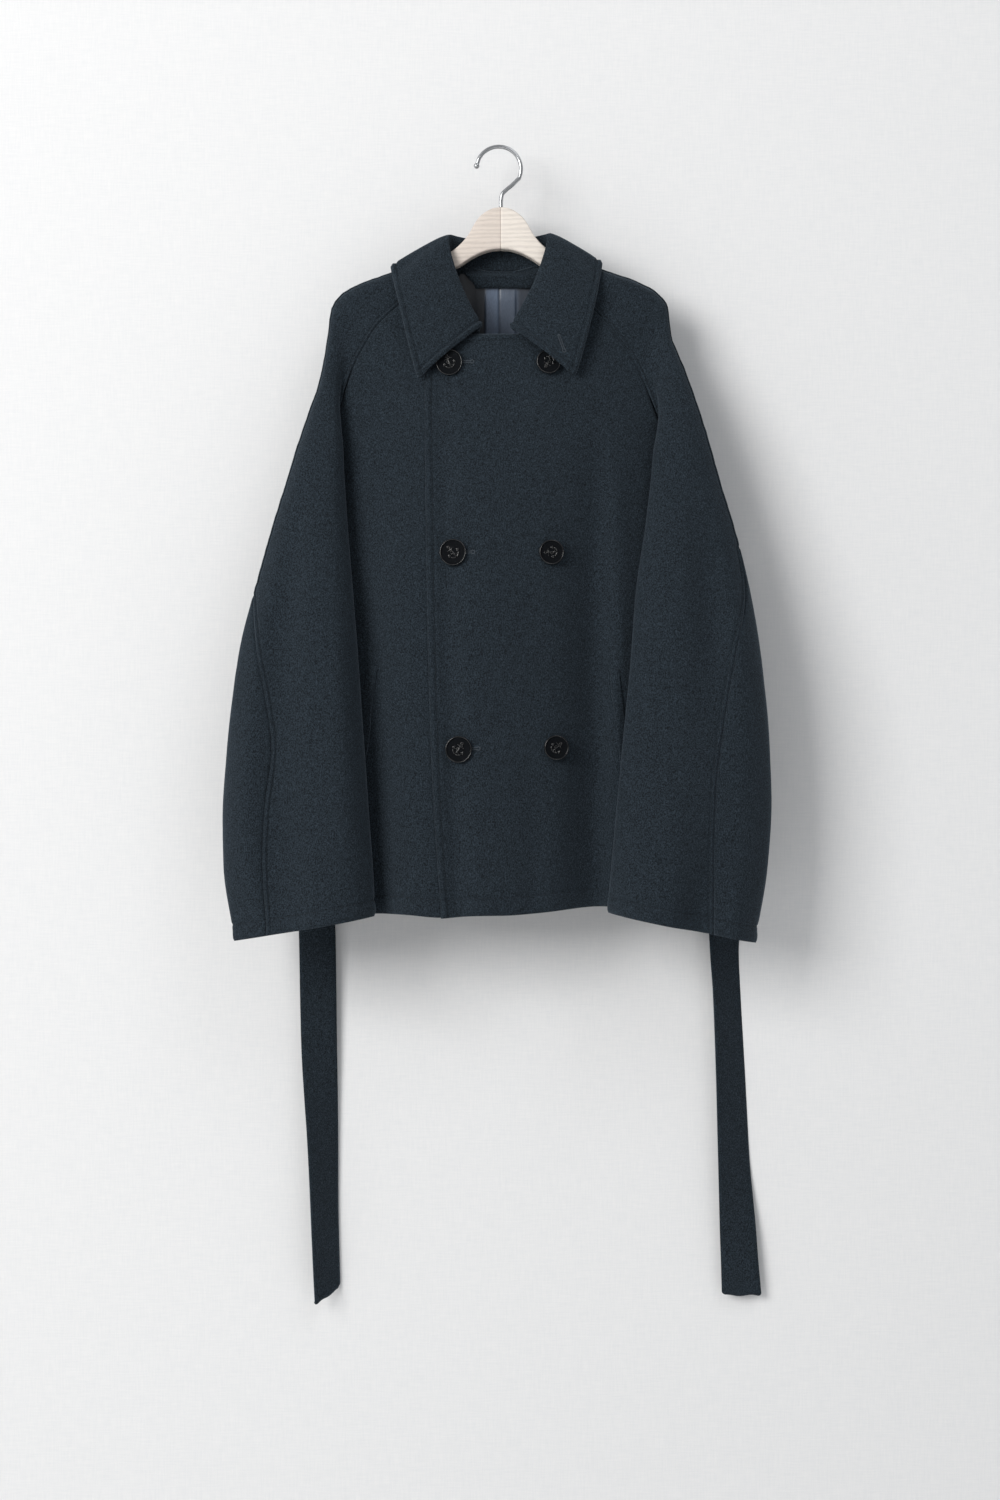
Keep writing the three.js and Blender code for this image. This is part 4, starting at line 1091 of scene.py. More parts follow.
def panel(name, grid, sign, seams, seed, node_name, thickness=None, puff=1.0):
    """One cut piece of melton: its form, its seams, and where its stitching runs."""
    form = grid + grid_normals(grid, sign) * relief(grid, seams, seed, puff)[..., None]
    piece = shell(name, form, sign, thickness or cloth().thickness, finish_of("melton"))
    stand_for(piece, "melton", node_name)
    for border, stitched in seams:
        if stitched:
            STITCH_LINES.append((form, sign, border, stitched))
    return piece


class COAT_OT_fronts(bpy.types.Operator):
    """Builds the two overlapping fronts"""

    bl_idname = "coat.fronts"
    bl_label = "Fronts"

    def execute(self, context):
        levels = levels_of()
        under = front_grid(False, levels, lanes(300, 4.2, 2, 2))
        top = front_grid(True, levels, lanes(300, 4.2, 20, 2))
        under_seams = [("end", None), ("start", None), ("bottom", 20), ("top", None)]
        top_seams = [("end", None), ("start", 8.5), ("bottom", 20), ("top", 10)]
        piece = panel("under_front", under, 1, under_seams, 3, "right_front")
        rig.sheet(piece, flat=(0.34, 0.72), held="hung", area=0.2, rests_on=["hanger_arm_left"])
        piece = panel("top_front", top, -1, top_seams, 5, "left_front")
        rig.sheet(piece, flat=(0.34, 0.72), held="hung", area=0.2, rests_on=["hanger_arm_right"])
        return {"FINISHED"}


class COAT_OT_back(bpy.types.Operator):
    """Builds the back"""

    bl_idname = "coat.back"
    bl_label = "Back"

    def execute(self, context):
        grid = back_grid(levels_of(), lanes(480, 4.6, 2, 2))
        seams = [("start", None), ("end", None), ("bottom", 20), ("top", None)]
        piece = panel("coat_back", grid, 1, seams, 7, "back")
        rests = ["hanger_arm_left", "hanger_arm_right"]
        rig.sheet(piece, flat=(0.52, 0.74), held="hung", area=0.3, rests_on=rests)
        return {"FINISHED"}


class COAT_OT_sleeves(bpy.types.Operator):
    """Builds both raglan sleeves, each of a front and a back half"""

    bl_idname = "coat.sleeves"
    bl_label = "Raglan sleeves"

    def execute(self, context):
        for side, word in ((-1, "left"), (1, "right")):
            front, rear = sleeve_grids(side, levels_of())
            rests = [f"hanger_arm_{word}"]
            seams = [("start", 5.5), ("end", 5.5), ("bottom", 18)]
            name = f"sleeve_front_{word}"
            piece = panel(f"{name}_cloth", front, -side, seams, 11 + side, name)
            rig.sheet(piece, flat=(0.22, 0.82), held="hung", area=0.12, rests_on=rests)
            seams = [("start", None), ("end", None), ("bottom", 18)]
            name = f"sleeve_back_{word}"
            piece = panel(f"{name}_cloth", rear, -side, seams, 21 + side, name)
            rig.sheet(piece, flat=(0.2, 0.82), held="hung", area=0.09, rests_on=rests)
        return {"FINISHED"}


COLLAR_FORM = []


class COAT_OT_collar(bpy.types.Operator):
    """Builds the turn-down collar"""

    bl_idname = "coat.collar"
    bl_label = "Collar"

    def execute(self, context):
        grid = collar_grid(lanes(640, 4, 12, 12), lanes(125, 3.6, 1, 13))
        for row in (0, -1):
            grid = round_corner(grid, row, -1, 5)
        seams = [("top", 7.5), ("bottom", 7.5), ("end", 7.5)]
        piece = panel("collar_cloth", grid, -1, seams, 31, "collar", 0.003, 1.6)
        COLLAR_FORM.append(STITCH_LINES[-1][0])
        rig.sheet(piece, flat=(0.62, 0.13), held="folded", area=0.044, rests_on=["coat_back"])
        return {"FINISHED"}


LINING_AREA = table("z half", [[-139, 46], [-165, 62], [-220, 78], [-310, 92]])
LINING_OFF = CLOTH_IN_CAD + 0.6
PLEAT_HALF = 18


class COAT_OT_neck(bpy.types.Operator):
    """Builds the back neck facing and the lining below it"""

    bl_idname = "coat.neck"
    bl_label = "Neck facing and lining"

    def execute(self, context):
        t, across = np.meshgrid(np.linspace(0, 1, 60), np.linspace(-1, 1, 150), indexing="ij")
        z = lerp(-139, -310, t**1.4)
        x = across * read(LINING_AREA, "half", z)
        box = smooth((PLEAT_HALF - abs(x + 0.5)) / 1.6) * smooth((z + 310) / -20 + 8)
        crease = 0.8 * bump((x + 2) / 1.2) + 0.5 * bump((x - 40) / 7) + 0.6 * bump((x + 33) / 6)
        grid = xyz(x, skin(x, z, 1) - LINING_OFF - LINING - 1.7 * box + 1.1 * crease, z)
        piece = shell("lining_satin", grid, -1, LINING * MM, finish_of("satin"))
        stand_for(piece, "lining", "back_lining")
        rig.sheet(piece, flat=(0.19, 0.18), held="hung", area=0.026, rests_on=["coat_back"])
        t, across = np.meshgrid(np.linspace(0, 1, 18), np.linspace(0, 1, 70), indexing="ij")
        half = lerp(44, 29, smooth(t))
        x = lerp(-half, half + 6, across)
        z = lerp(-135.5 + 3 * (x / 40) ** 2, -156.5 + 1.2 * bump(x / 30), t)
        low = skin(x, z, 1) - LINING_OFF - LINING - 2.2 - FACING_CLOTH
        stand = 15.6 - 3.6 * (x / 46) ** 2
        grid = xyz(x, lerp(stand, low, smooth(t * 2.5)), z)
        seams = [("bottom", None), ("start", None), ("end", None)]
        piece = panel("neck_facing_cloth", grid, -1, seams, 41, "back_neck_facing", FACING_CLOTH * MM)
        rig.sheet(piece, flat=(0.1, 0.022), held="hung", area=0.0019, rests_on=["lining_satin"])
        return {"FINISHED"}


WELT_TOP = {-1: (-138, -586), 1: (120, -590)}
WELT_LENGTH, WELT_WIDTH, WELT_LEAN = 165, 11, 20


class COAT_OT_pockets(bpy.types.Operator):
    """Builds the two slanted pocket welts"""

    bl_idname = "coat.pockets"
    bl_label = "Pocket welts"

    def execute(self, context):
        for side, word, on in ((-1, "left", "under_front"), (1, "right", "top_front")):
            top_x, top_z = WELT_TOP[side]
            t, across = np.meshgrid(np.linspace(0, 1, 60), np.linspace(0, 1, 9), indexing="ij")
            wave = 0.9 * wobble(t * WELT_LENGTH, 50 + side, 70) * (1 - across)
            x = top_x + side * (WELT_LEAN * t + WELT_WIDTH * across + wave)
            z = top_z - WELT_LENGTH * t + 1.3 * across
            stand = lerp(3.1, 1.0, smooth(across)) - 1.2 * bump(t / 0.02) - 1.2 * bump((1 - t) / 0.02)
            grid = xyz(x, skin(x, z, -1) - stand, z)
            piece = shell(f"pocket_welt_{word}_cloth", grid, side * -1, 0.0015, finish_of("melton"))
            stand_for(piece, "melton", f"pocket_welt_{word}")
            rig.sheet(piece, flat=(0.011, 0.168), held="laid", rests_on=[on])
        return {"FINISHED"}


# Belt: one ribbon across the back at the waist, folded down at 45 degrees at each end
BELT_Z = -560
BELT_Y = 52.5
BELT_FOLD = 2.4
BELT_HALF = 21
BELT_LENGTH = 751
BELT_ENDS = {
    -1: table(
        "down shift turn half",
        [
            [0, 0, 0, 21],
            [290, 2, 2, 21],
            [330, 3.5, 4, 21],
            [460, 6.3, 17, 21],
            [570, 11, 38, 21],
            [650, 13, 46, 20.8],
            [756, 16.5, 48, 20],
        ],
    ),
    1: table(
        "down shift turn half",
        [
            [0, 0, 0, 21],
            [290, 0, 8, 21],
            [345, 1, 33, 21],
            [395, 4, 36, 21],
            [490, 8, 33, 21],
            [585, 11, 28, 21],
            [693, 16, 4, 21.5],
            [751, 19, 0, 23],
        ],
    ),
}
BELT_HANG = {-1: -209, 1: 252}


def belt_point(side, past, across, off):
    """A point of the ribbon: past is the length beyond the fold's middle, across is its width."""
    middle = BELT_HANG[side]
    d = (past + across) / math.sqrt(2)
    bend = math.pi * BELT_FOLD
    if d <= 0:
        return middle + side * past, BELT_Y + off, BELT_Z + across
    line_x, line_z = past - d / math.sqrt(2), across - d / math.sqrt(2)
    if d <= bend:
        r = BELT_FOLD + off
        out = r * math.sin(d / BELT_FOLD) / math.sqrt(2)
        y = BELT_Y - BELT_FOLD + r * math.cos(d / BELT_FOLD)
        return middle + side * (line_x + out), y, BELT_Z + line_z + out
    rest = (d - bend) / math.sqrt(2)
    down = rest - line_z
    turn, shift, half = (float(read(BELT_ENDS[side], k, down)) for k in ("turn", "shift", "half"))
    turn = math.radians(turn)
    w = (line_x - rest) * half / BELT_HALF
    x = middle + side * w * math.cos(turn) + shift + off * math.sin(turn) * side
    y = BELT_Y - 2 * BELT_FOLD - off * math.cos(turn) + w * math.sin(turn) * side
    return x, y, BELT_Z - down


def belt_grid():
    """The ribbon from its left end to its right end, one row of points for each place along it."""
    past = [-60, -48, -36, -24, -14, -6, *np.linspace(0.001, 10.66, 10), 14, 19, 26]
    past += [*range(34, BELT_LENGTH - 10, 6)]
    past += [BELT_LENGTH - d for d in (9, 7, 5.2, 3.8, 2.6, 1.6, 0.8, 0.3, 0)]
    lanes_across = BELT_HALF * (2 * lanes(42, 3.5, 6, 6) - 1)
    rows = []
    for side in (-1, 1):
        half = []
        for p in past:
            skew = 1 - smooth((p - 70) / 300) if p > -40 else 0
            skew = 1 - smooth((-p - 4) / 40) if p < -4 else skew
            tip = smooth((p - BELT_LENGTH) / 38 + 1)
            line = []
            for w in lanes_across:
                slant = tip * ((-8 if side < 0 else -1) * w / BELT_HALF + 1.6 * wobble(w, 5, 34))
                line.append(belt_point(side, p - skew * w + slant, w, BELT_CLOTH / 2))
            half.append(line)
        rows += half[::-1] if side < 0 else half
        if side < 0:
            for x in np.linspace(-145, 188, 42):
                rows.append([(x, BELT_Y + BELT_CLOTH / 2, BELT_Z + w) for w in lanes_across])
    grid = np.array(rows, float)
    for row in (0, -1):
        for column in (0, -1):
            grid = round_corner(grid, row, column, 4)
    return grid


class COAT_OT_belt(bpy.types.Operator):
    """Builds the tie belt and its two loops"""

    bl_idname = "coat.belt"
    bl_label = "Tie belt and loops"

    def execute(self, context):
        seams = [("start", None), ("end", None), ("top", None), ("bottom", None)]
        piece = panel("belt_cloth", belt_grid(), 1, seams, 61, "belt", BELT_CLOTH * MM)
        loops = ["belt_loop_left_cloth", "belt_loop_right_cloth"]
        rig.sheet(piece, flat=(0.042, 2.02), held="hung", rests_on=loops)
        for side, word in ((-1, "left"), (1, "right")):
            s, across = np.meshgrid(np.linspace(-1, 1, 90), np.linspace(0, 1, 9), indexing="ij")
            x = side * (122 + 9 * across)
            z = BELT_Z - 34 * s
            flat = skin(x, z, 1) - 0.4
            over = BELT_Y + BELT_CLOTH / 2 + 0.6
            grid = xyz(x, lerp(flat, over, smooth((1 - abs(s)) / 0.24)) + 1.6, z)
            seams = [("start", 2.2), ("end", 2.2)]
            name = f"belt_loop_{word}"
            form = grid + grid_normals(grid, side)[:] * 0.25 * relief(grid, seams, 71 + side)[..., None]
            piece = shell(f"{name}_cloth", form, side, 0.0016, finish_of("melton"))
            stand_for(piece, "melton", name)
            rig.sheet(piece, flat=(0.0101, 0.078), held="hung", area=0.0007, rests_on=["coat_back"])
        return {"FINISHED"}


# Buttons: place, width across, and how far each is turned
BUTTONS = [
    [-57.5, -248, 29.5, 20],
    [53, -247, 27.5, 150],
    [-52.5, -461.5, 29.5, 40],
    [55.5, -460.5, 27.5, 95],
    [-46, -678.5, 29.5, -35],
    [60.5, -676.5, 27.5, -50],
]
BUTTON_THICK = 4.2


def button_seat(x, z, size, turn):
    """Where a button's back lies on the cloth: a turn and a place, in metres."""
    e = 12
    slope_x = float(top_skin(x + e, z) - top_skin(x - e, z)) / (2 * e)
    slope_z = float(top_skin(x, z + e) - top_skin(x, z - e)) / (2 * e)
    out = Vector((slope_x / 3, -1, slope_z / 3)).normalized()
    up = (Vector((0, 0, 1)) - out * out.z).normalized()
    right = up.cross(out)
    seat = Vector((x, float(top_skin(x, z)), z))
    off = 0
    for k in range(24):
        a = k / 12 * math.pi
        for f in (0.4, 0.75, 1):
            p = seat + right * (f * math.cos(a) * size / 2) + up * (f * math.sin(a) * size / 2)
            off = max(off, p.y - float(top_skin(p.x, p.z)))
    turned = Matrix((right, up, out)).transposed().to_4x4() @ Matrix.Rotation(math.radians(turn), 4, "Z")
    return Matrix.Translation((seat + out * (off + 0.6)) * MM) @ turned


def circle(cx, cy, radius, start, end, count=15):
    a = np.radians(np.linspace(start, end, count))
    return np.stack([cx + radius * np.cos(a), cy + radius * np.sin(a)], axis=1)


def anchor_into(bm, r, z):
    """A plain anchor with a rope round its shank, in low relief on a face at height z."""

    def bar(flat, width):
        flat = np.asarray(flat, float)
        points = np.column_stack([flat * r, np.full(len(flat), z)])
        radii = rounded(width * r, len(flat)) if np.isscalar(width) else np.array(width) * r
        rod(bm, points, radii, 8, 0.75)

    bar(circle(0, 0.56, 0.11, 0, 360, 17), 0.045)
    bar([(0, 0.46 - 0.105 * k) for k in range(10)], 0.075)
    bar([(-0.27 + 0.06 * k, 0.3) for k in range(10)], 0.055)
    for s in (-1, 1):
        bar([(s * 0.3, 0.26), (s * 0.3, 0.3), (s * 0.3, 0.34)], [0.04, 0.08, 0.04])
        bar(circle(0, -0.06, 0.43, -90, -90 + s * 68), 0.075)
        fluke = [(s * 0.54, -0.24), (s * 0.48, -0.1), (s * 0.41, 0.03), (s * 0.36, 0.12)]
        bar(fluke, [0.03, 0.11, 0.09, 0.02])
        bar([(s * 0.26, -0.14), (s * 0.36, -0.11), (s * 0.46, -0.14)], [0.02, 0.08, 0.04])
    t = np.linspace(0, 1, 48)
    rope = np.stack([0.24 * np.sin(t * 9.2) * (0.5 + 0.6 * t), 0.58 - 1.12 * t], axis=1)
    points = np.column_stack([rope * r, z + 0.25 + 0.45 * np.abs(np.cos(t * 9.2))])
    rod(bm, points, 0.036 * r * (1 + 0.2 * np.sin(np.arange(48) * 2.1)), 6)


class COAT_OT_buttons(bpy.types.Operator):
    """Builds the six anchor buttons"""

    bl_idname = "coat.buttons"
    bl_label = "Anchor buttons"

    def execute(self, context):
        t = BUTTON_THICK
        for k, (x, z, size, turn) in enumerate(BUTTONS):
            r = size / 2
            bm = bmesh.new()
            profile = [
                *((0, -1.6), (3.2, -1.6), (3.3, 0), (r - 1.1, 0.05), (r - 0.35, 0.4), (r, 1.2)),
                *((r, t - 1.2), (r - 0.14, t - 0.6), (r - 0.45, t - 0.18), (r - 0.85, t)),
                *((r - 1.2, t - 0.12), (r - 1.45, t - 0.45), (r - 1.7, t - 0.9), (r - 2.0, t - 1.2)),
                (r - 2.5, t - 1.3),
                *((r * 0.4, t - 1.3), (0, t - 1.3)),
            ]
            verts = [bm.verts.new((a * MM, 0, b * MM)) for a, b in profile]
            edges = [bm.edges.new(pair) for pair in zip(verts, verts[1:])]
            bmesh.ops.spin(
                bm, geom=verts + edges, cent=(0, 0, 0), axis=(0, 0, 1), angle=2 * math.pi, steps=60
            )
            bmesh.ops.remove_doubles(bm, verts=bm.verts, dist=1e-6)
            for face in bm.faces:
                middle = face.calc_center_median()
                face.material_index = int(middle.z > 0 and middle.xy.length < (r - 1.3) * MM)
            anchor_into(bm, r - 1.7, t - 1.1)
            bmesh.ops.recalc_face_normals(bm, faces=bm.faces)
            bmesh.ops.transform(bm, matrix=button_seat(x, z, size, turn), verts=bm.verts)
            piece = finished(f"anchor_button_{k + 1}", bm, finish_of("resin"))
            piece.data.materials.append(finish_of("resin_field"))
            stand_for(piece, "button", f"button_{k + 1}")
        return {"FINISHED"}


def stitched_line(form, sign, border, inset):
    """Points and normals of the line that runs inset millimetres from a border."""
    near = borders(form)[border]
    normals = grid_normals(form, sign)
    if border in ("top", "bottom"):
        near, form, normals = near.T, form.transpose(1, 0, 2), normals.transpose(1, 0, 2)
    points, outs = [], []
    for d, line, out in zip(near, form, normals):
        if d.max() > 2.2 * inset:
            order = np.argsort(d)
            points.append([np.interp(inset, d[order], line[order, k]) for k in range(3)])
            outs.append([np.interp(inset, d[order], out[order, k]) for k in range(3)])
    return np.array(points), unit(np.array(outs))


def laid_along(points, outs, pitch):
    """Places, directions and normals at even steps along a line."""
    run = np.concatenate([[0], np.cumsum(np.linalg.norm(np.diff(points, axis=0), axis=1))])
    at = np.arange(pitch / 2, run[-1], pitch)
    place = np.stack([np.interp(at, run, points[:, k]) for k in range(3)], axis=1)
    ahead = np.stack([np.interp(at + 0.5, run, points[:, k]) for k in range(3)], axis=1)
    behind = np.stack([np.interp(at - 0.5, run, points[:, k]) for k in range(3)], axis=1)
    out = np.stack([np.interp(at, run, outs[:, k]) for k in range(3)], axis=1)
    return place, unit(ahead - behind), unit(out)


def stitch_matrix(place, along, out, length, thick, lift=0.0):
    """A unit ball as a stitch, in metres."""
    x = Vector(along).normalized()
    z = (Vector(out) - x * Vector(out).dot(x)).normalized()
    y = z.cross(x)
    turned = Matrix((x, y, z)).transposed().to_4x4()
    sized = Matrix.Diagonal((length / 2 * MM, thick / 2 * MM, thick / 2 * MM, 1))
    return Matrix.Translation(Vector(place + out * lift) * MM) @ turned @ sized


def joined_stitches(name, places, finish):
    """Many stitches as one piece."""
    ball = bmesh.new()
    bmesh.ops.create_uvsphere(ball, u_segments=6, v_segments=5, radius=1)
    bmesh.ops.rotate(ball, verts=ball.verts, matrix=Matrix.Rotation(math.pi / 2, 3, "Y"))
    seed = bpy.data.meshes.new("stitch")
    ball.to_mesh(seed)
    ball.free()
    bm = bmesh.new()
    for matrix in places:
        one = seed.copy()
        one.transform(matrix)
        bm.from_mesh(one)
        bpy.data.meshes.remove(one)
    bpy.data.meshes.remove(seed)
    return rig.slot(finished(name, bm, finish_of(finish)), "melton")


# Buttonholes in the top front, then the one in the collar: inner end and outer end
HOLES = [
    [(-60, -246.5), (-31, -246.5)],
    [(-55, -461), (-29.5, -461)],
    [(-49, -678), (-23.5, -677.5)],
]
COLLAR_HOLE = [(64.2, -218.4), (70.6, -236.8)]


def hole_stitches(start, end, depth_at, out_at):
    """Close stitches on both sides of a slit, with a round eye at its end."""
    start, end = np.array(start, float), np.array(end, float)
    run = unit(end - start)
    side = np.array([run[1], -run[0]])
    length = np.linalg.norm(end - start)
    made = []

    def put(flat, direction, long, thick):
        place = np.array([flat[0], depth_at(*flat), flat[1]])
        out = out_at(*flat)
        along = np.array([direction[0], 0, direction[1]])
        made.append(stitch_matrix(place, unit(along - out * along.dot(out)), out, long, thick, 0.15))

    for d in np.arange(0, length - 2.2, 0.62):
        for s in (-1, 1):
            put(start + run * d + side * s * 1.0, side, 1.7, 0.62)
    eye = end - run * 1.2
    for a in np.radians(np.arange(-150, 151, 20)):
        way = run * math.cos(a) + side * math.sin(a)
        put(eye + way * 1.9, way, 1.7, 0.62)
    for s in (-0.8, 0, 0.8):
        put(start + run * (-0.4 + 0.3 * s), side, 3.6, 0.7)
    return made


class COAT_OT_stitching(bpy.types.Operator):
    """Sews the topstitching and works the buttonholes"""

    bl_idname = "coat.stitching"
    bl_label = "Stitching"

    def execute(self, context):
        rng = np.random.default_rng(8)
        places = []
        for form, sign, border, inset in STITCH_LINES:
            points, outs = stitched_line(form, sign, border, inset)
            for place, along, out in zip(*laid_along(points, outs, cloth().pitch / MM)):
                lift = 0.05 + 0.08 * rng.random()
                long = cloth().stitch / MM * rng.uniform(0.92, 1.06)
                places.append(stitch_matrix(place, along, out, long, 0.62, lift))
        joined_stitches("topstitching", places, "thread")

        def slope(surface, x, z):
            e = 1.5
            dx = float(surface(x + e, z) - surface(x - e, z)) / (2 * e)
            dz = float(surface(x, z + e) - surface(x, z - e)) / (2 * e)
            return unit(np.array([dx, -1.0, dz]))

        made = []
        for start, end in HOLES:
            made += hole_stitches(
                start, end, lambda x, z: float(top_skin(x, z)), lambda x, z: slope(top_skin, x, z)
            )
        form = COLLAR_FORM[0]
        fall = form[:, form.shape[1] // 2 :].reshape(-1, 3)

        def collar_y(x, z):
            """Depth of the collar's fall, as a plane through its nearest points."""
            near = fall[np.argsort((fall[:, 0] - x) ** 2 + (fall[:, 2] - z) ** 2)[:12]]
            flat = np.column_stack([near[:, 0], near[:, 2], np.ones(len(near))])
            return np.array([x, z, 1]) @ np.linalg.lstsq(flat, near[:, 1], rcond=None)[0]

        made += hole_stitches(*COLLAR_HOLE, collar_y, lambda x, z: slope(collar_y, x, z))
        joined_stitches("buttonhole_stitches", made, "twist")
        return {"FINISHED"}


# Hanger arm: its outline in front view, cut from a board with rounded edges
ARM = table(
    "x top bottom",
    [
        [0.2, -67.2, -114.5],
        [8, -68.2, -115],
        [16, -71.8, -116.8],
        [24, -78, -119.8],
        [30.5, -87, -123],
        [36, -97, -126.2],
        [43, -106, -131],
        [50, -112.6, -135],
        [57.6, -118.2, -138.8],
        [66, -125.5, -142.8],
        [95, -138.5, -155],
        [127, -151.5, -168],
        [155, -162.5, -181],
        [170, -170, -188],
        [178, -177, -190.5],
        [180, -184, -188],
    ],
)


def arm_grid(side):
    """Rings round a hanger arm from the glued joint to its tip."""
    joint, tip = [0.03, 0.04, 0.3], [177.5, 178.8, 179.6, 180]
    x = np.concatenate([joint, np.linspace(0.7, 70, 70), np.linspace(72, 176, 50), tip])
    eased = 0.5 * (1 - smooth(x / 0.7))
    top, bottom = read(ARM, "top", x) - eased, read(ARM, "bottom", x) + eased
    half = lerp(8, 6.5, smooth((x - 40) / 30)) - eased
    round_off = np.minimum(lerp(2.6, 4.5, smooth((x - 45) / 30)), (top - bottom) * 0.3)
    rings = []
    for place, t, b, h, r in zip(x, top, bottom, half, round_off):
        ring = []
        corners = ((h - r, t - r, 90), (h - r, b + r, 0), (-h + r, b + r, -90), (-h + r, t - r, -180))
        for cy, cz, start in corners:
            for k in range(6):
                a = math.radians(start - 18 * k)
                ring.append((side * place, cy + r * math.cos(a), cz + r * math.sin(a)))
        rings.append(ring + ring[:1])
    rings = np.array(rings)
    for k in (0, -1):
        rings[k] = rings[k].mean(axis=0)
    return rings


HOOK_WIRE = 4.6
HOOK_RADIUS = 25.2
HOOK_BALL = 3.3
HOOK_TAIL = [(18.5, -35.2), (12.5, -41.2), (6, -46.5), (1.8, -51), (0.2, -57), (0, -66.8)]


class COAT_OT_hanger(bpy.types.Operator):
    """Builds the wooden hanger and its wire hook"""

    bl_idname = "coat.hanger"
    bl_label = "Hanger"

    def execute(self, context):
        for side, word in ((-1, "left"), (1, "right")):
            bm = bmesh.new()
            made = grid_into(bm, arm_grid(side))
            bmesh.ops.remove_doubles(bm, verts=made, dist=1e-7)
            bmesh.ops.recalc_face_normals(bm, faces=bm.faces)
            piece = finished(f"beech_arm_{word}", bm, finish_of("beech"))
            stand_for(piece, "beech", f"hanger_arm_{word}")
        turn = np.radians(172 - 24.5 * np.arange(9))
        rise = HOOK_WIRE / 2 - HOOK_RADIUS
        bow = np.stack([-2.5 + HOOK_RADIUS * np.cos(turn), rise + HOOK_RADIUS * np.sin(turn)], axis=1)
        keys = np.concatenate([bow, HOOK_TAIL])
        keys = np.column_stack([keys[:, 0], 0 * keys[:, 0], keys[:, 1]])[:, None]
        steps = np.linspace(0, len(keys) - 1, 240)
        line = np.concatenate([through(keys, np.array([at])) for at in steps])
        run = np.concatenate([[0], np.cumsum(np.linalg.norm(np.diff(line, axis=0), axis=1))])
        ball_at = np.linspace(0.02, 2 * HOOK_BALL, 16)
        wire_at = np.linspace(2 * HOOK_BALL + 0.4, run[-1] + HOOK_BALL, 130)
        at = np.concatenate([ball_at, wire_at]) - HOOK_BALL
        first = unit(line[0] - line[3])
        points = np.stack([np.interp(at, run, line[:, k]) for k in range(3)], axis=1)
        points = np.where(at[:, None] < 0, line[0] - first * at[:, None], points)
        ball = np.sqrt(np.maximum(HOOK_BALL**2 - at**2, 0))
        radii = np.where(at < 0, ball, np.maximum(ball, HOOK_WIRE / 2))
        bm = bmesh.new()
        rod(bm, points, radii, 20, face=(0, 1, 0))
        bmesh.ops.recalc_face_normals(bm, faces=bm.faces)
        stand_for(finished("steel_hook", bm, finish_of("steel")), "hook_steel", "hanger_hook")
        return {"FINISHED"}


# Soft daylight from the left, a weaker light from above, and one behind for the other views:
# place, size in metres, power in watts, colour
LIGHTS = [
    ["Key", (-2.9, -3.7, 0.9), 2.4, 205, (1, 0.99, 0.975)],
    ["Fill", (1.4, -2.6, 2.4), 1.6, 22, (0.96, 0.98, 1)],
    ["Back", (0.8, 2.6, 0.6), 2.0, 40, (0.97, 0.98, 1)],
]
AMBIENT = 0.42


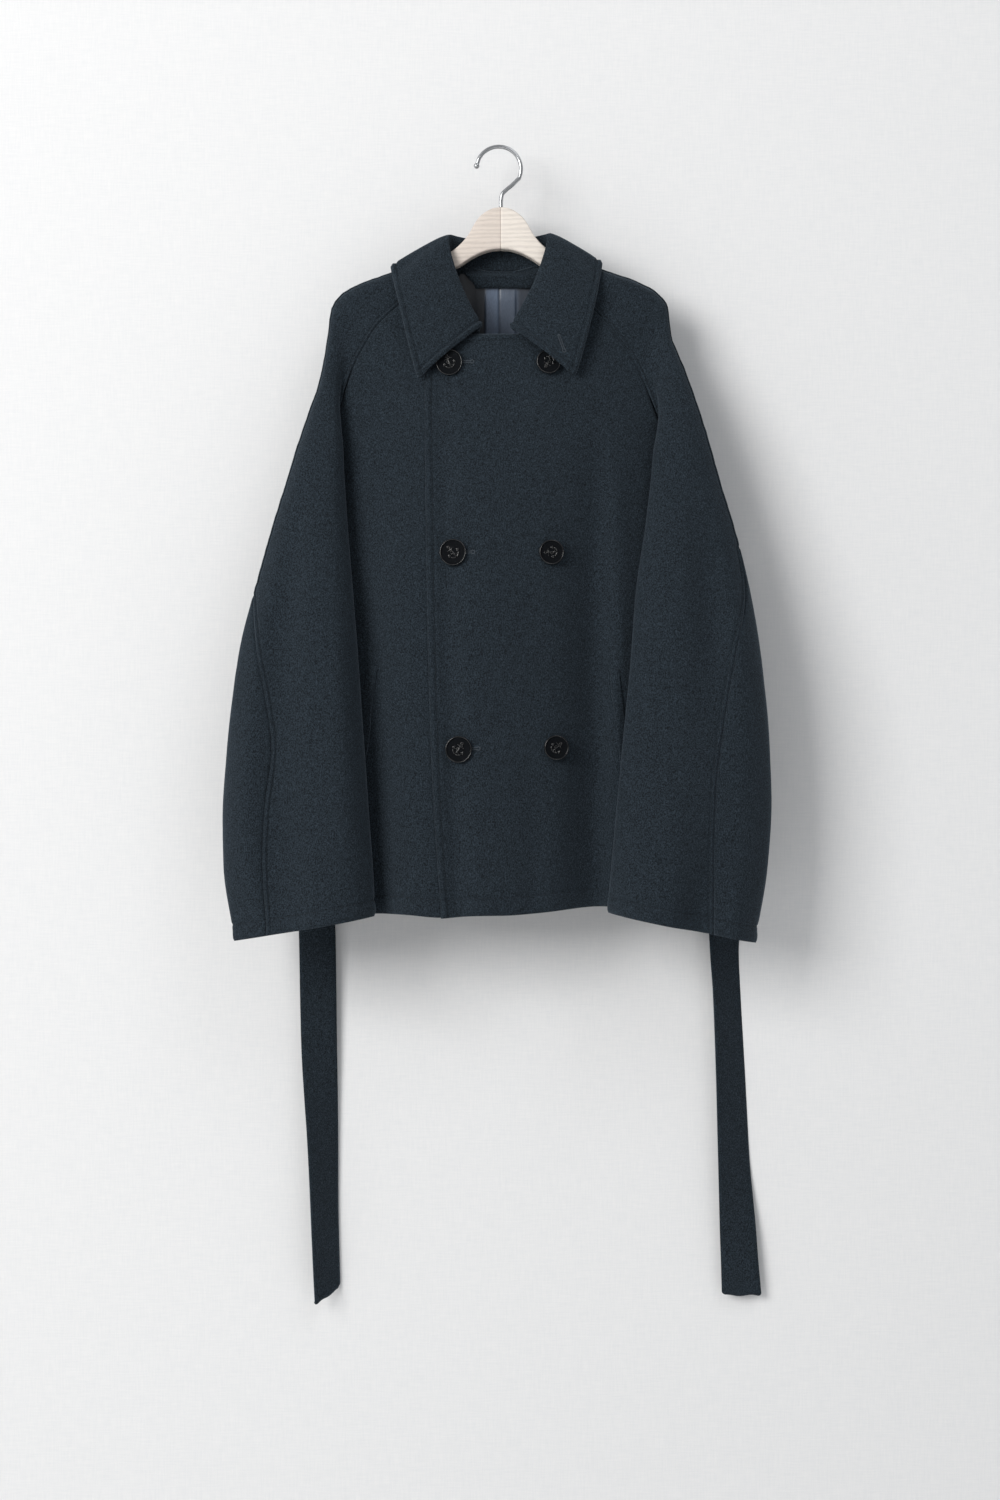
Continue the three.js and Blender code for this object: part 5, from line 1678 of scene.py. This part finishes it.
class COAT_OT_stage(bpy.types.Operator):
    """Builds the backdrop, the floor, the lights and the camera"""

    bl_idname = "coat.stage"
    bl_label = "Stage"

    def execute(self, context):
        stage = context.scene.coat_stage
        wall_y, floor_z, reach, high = 0.061, -2.1, 5.0, 2.0
        lower_left, lower_right = (-reach, wall_y, floor_z), (reach, wall_y, floor_z)
        for name, corners in (
            ("wall", [lower_left, lower_right, (reach, wall_y, high), (-reach, wall_y, high)]),
            ("floor", [(-reach, -reach, floor_z), (reach, -reach, floor_z), lower_right, lower_left]),
        ):
            bm = bmesh.new()
            bm.faces.new([bm.verts.new(c) for c in corners])
            mesh = bpy.data.meshes.new(name)
            bm.to_mesh(mesh)
            bm.free()
            mesh.materials.append(finish_of("wallpaper"))
            made = bpy.data.objects.new(name, mesh)
            context.scene.collection.objects.link(made)
            made.visible_shadow = False
            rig.stage(made)
        lens = bpy.data.cameras.new("Camera")
        lens.lens = stage.lens
        lens.clip_end = 50
        camera = bpy.data.objects.new("Camera", lens)
        camera.location = (-0.0011, -stage.distance, stage.height)
        camera.rotation_euler = (math.pi / 2, 0, 0)
        context.scene.collection.objects.link(camera)
        context.scene.camera = camera
        world = bpy.data.worlds.new("Studio")
        world.use_nodes = True
        background = world.node_tree.nodes["Background"]
        background.inputs["Color"].default_value = (0.97, 0.98, 1, 1)
        background.inputs["Strength"].default_value = AMBIENT
        context.scene.world = world
        for name, place, size, power, colour in LIGHTS:
            data = bpy.data.lights.new(name, "AREA")
            data.size = size
            data.energy = power
            data.color = colour
            lamp = bpy.data.objects.new(name, data)
            lamp.location = place
            aim = Vector((0, 0, -0.6)) - Vector(place)
            lamp.rotation_euler = aim.to_track_quat("-Z", "Y").to_euler()
            context.scene.collection.objects.link(lamp)
        context.scene.view_settings.view_transform = "Standard"
        return {"FINISHED"}


class COAT_PT_panel(bpy.types.Panel):
    """Lists the pieces of the coat"""

    bl_label = "Coat"
    bl_idname = "COAT_PT_panel"
    bl_space_type = "VIEW_3D"
    bl_region_type = "UI"
    bl_category = "Coat"

    def draw(self, context):
        for made in STEPS:
            self.layout.operator(made.bl_idname)


STEPS = (
    COAT_OT_stage,
    COAT_OT_fronts,
    COAT_OT_back,
    COAT_OT_sleeves,
    COAT_OT_collar,
    COAT_OT_neck,
    COAT_OT_pockets,
    COAT_OT_belt,
    COAT_OT_buttons,
    COAT_OT_stitching,
    COAT_OT_hanger,
)
CLASSES = (ClothSettings, LookSettings, StageSettings, *STEPS, COAT_PT_panel)


def register():
    for made in CLASSES:
        bpy.utils.register_class(made)
    bpy.types.Scene.coat_cloth = bpy.props.PointerProperty(type=ClothSettings)
    bpy.types.Scene.coat_looks = bpy.props.PointerProperty(type=LookSettings)
    bpy.types.Scene.coat_stage = bpy.props.PointerProperty(type=StageSettings)


def unregister():
    del bpy.types.Scene.coat_stage
    del bpy.types.Scene.coat_looks
    del bpy.types.Scene.coat_cloth
    for made in reversed(CLASSES):
        bpy.utils.unregister_class(made)


def main():
    register()
    for made in STEPS:
        group, name = made.bl_idname.split(".")
        getattr(getattr(bpy.ops, group), name)()
    sizes = {"cad": [list(c) for c in CAD_BOX], "visual": [list(c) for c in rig.bounds()]}
    with open("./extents.json", "w") as file:
        json.dump(sizes, file)


if __name__ == "__main__":
    main()
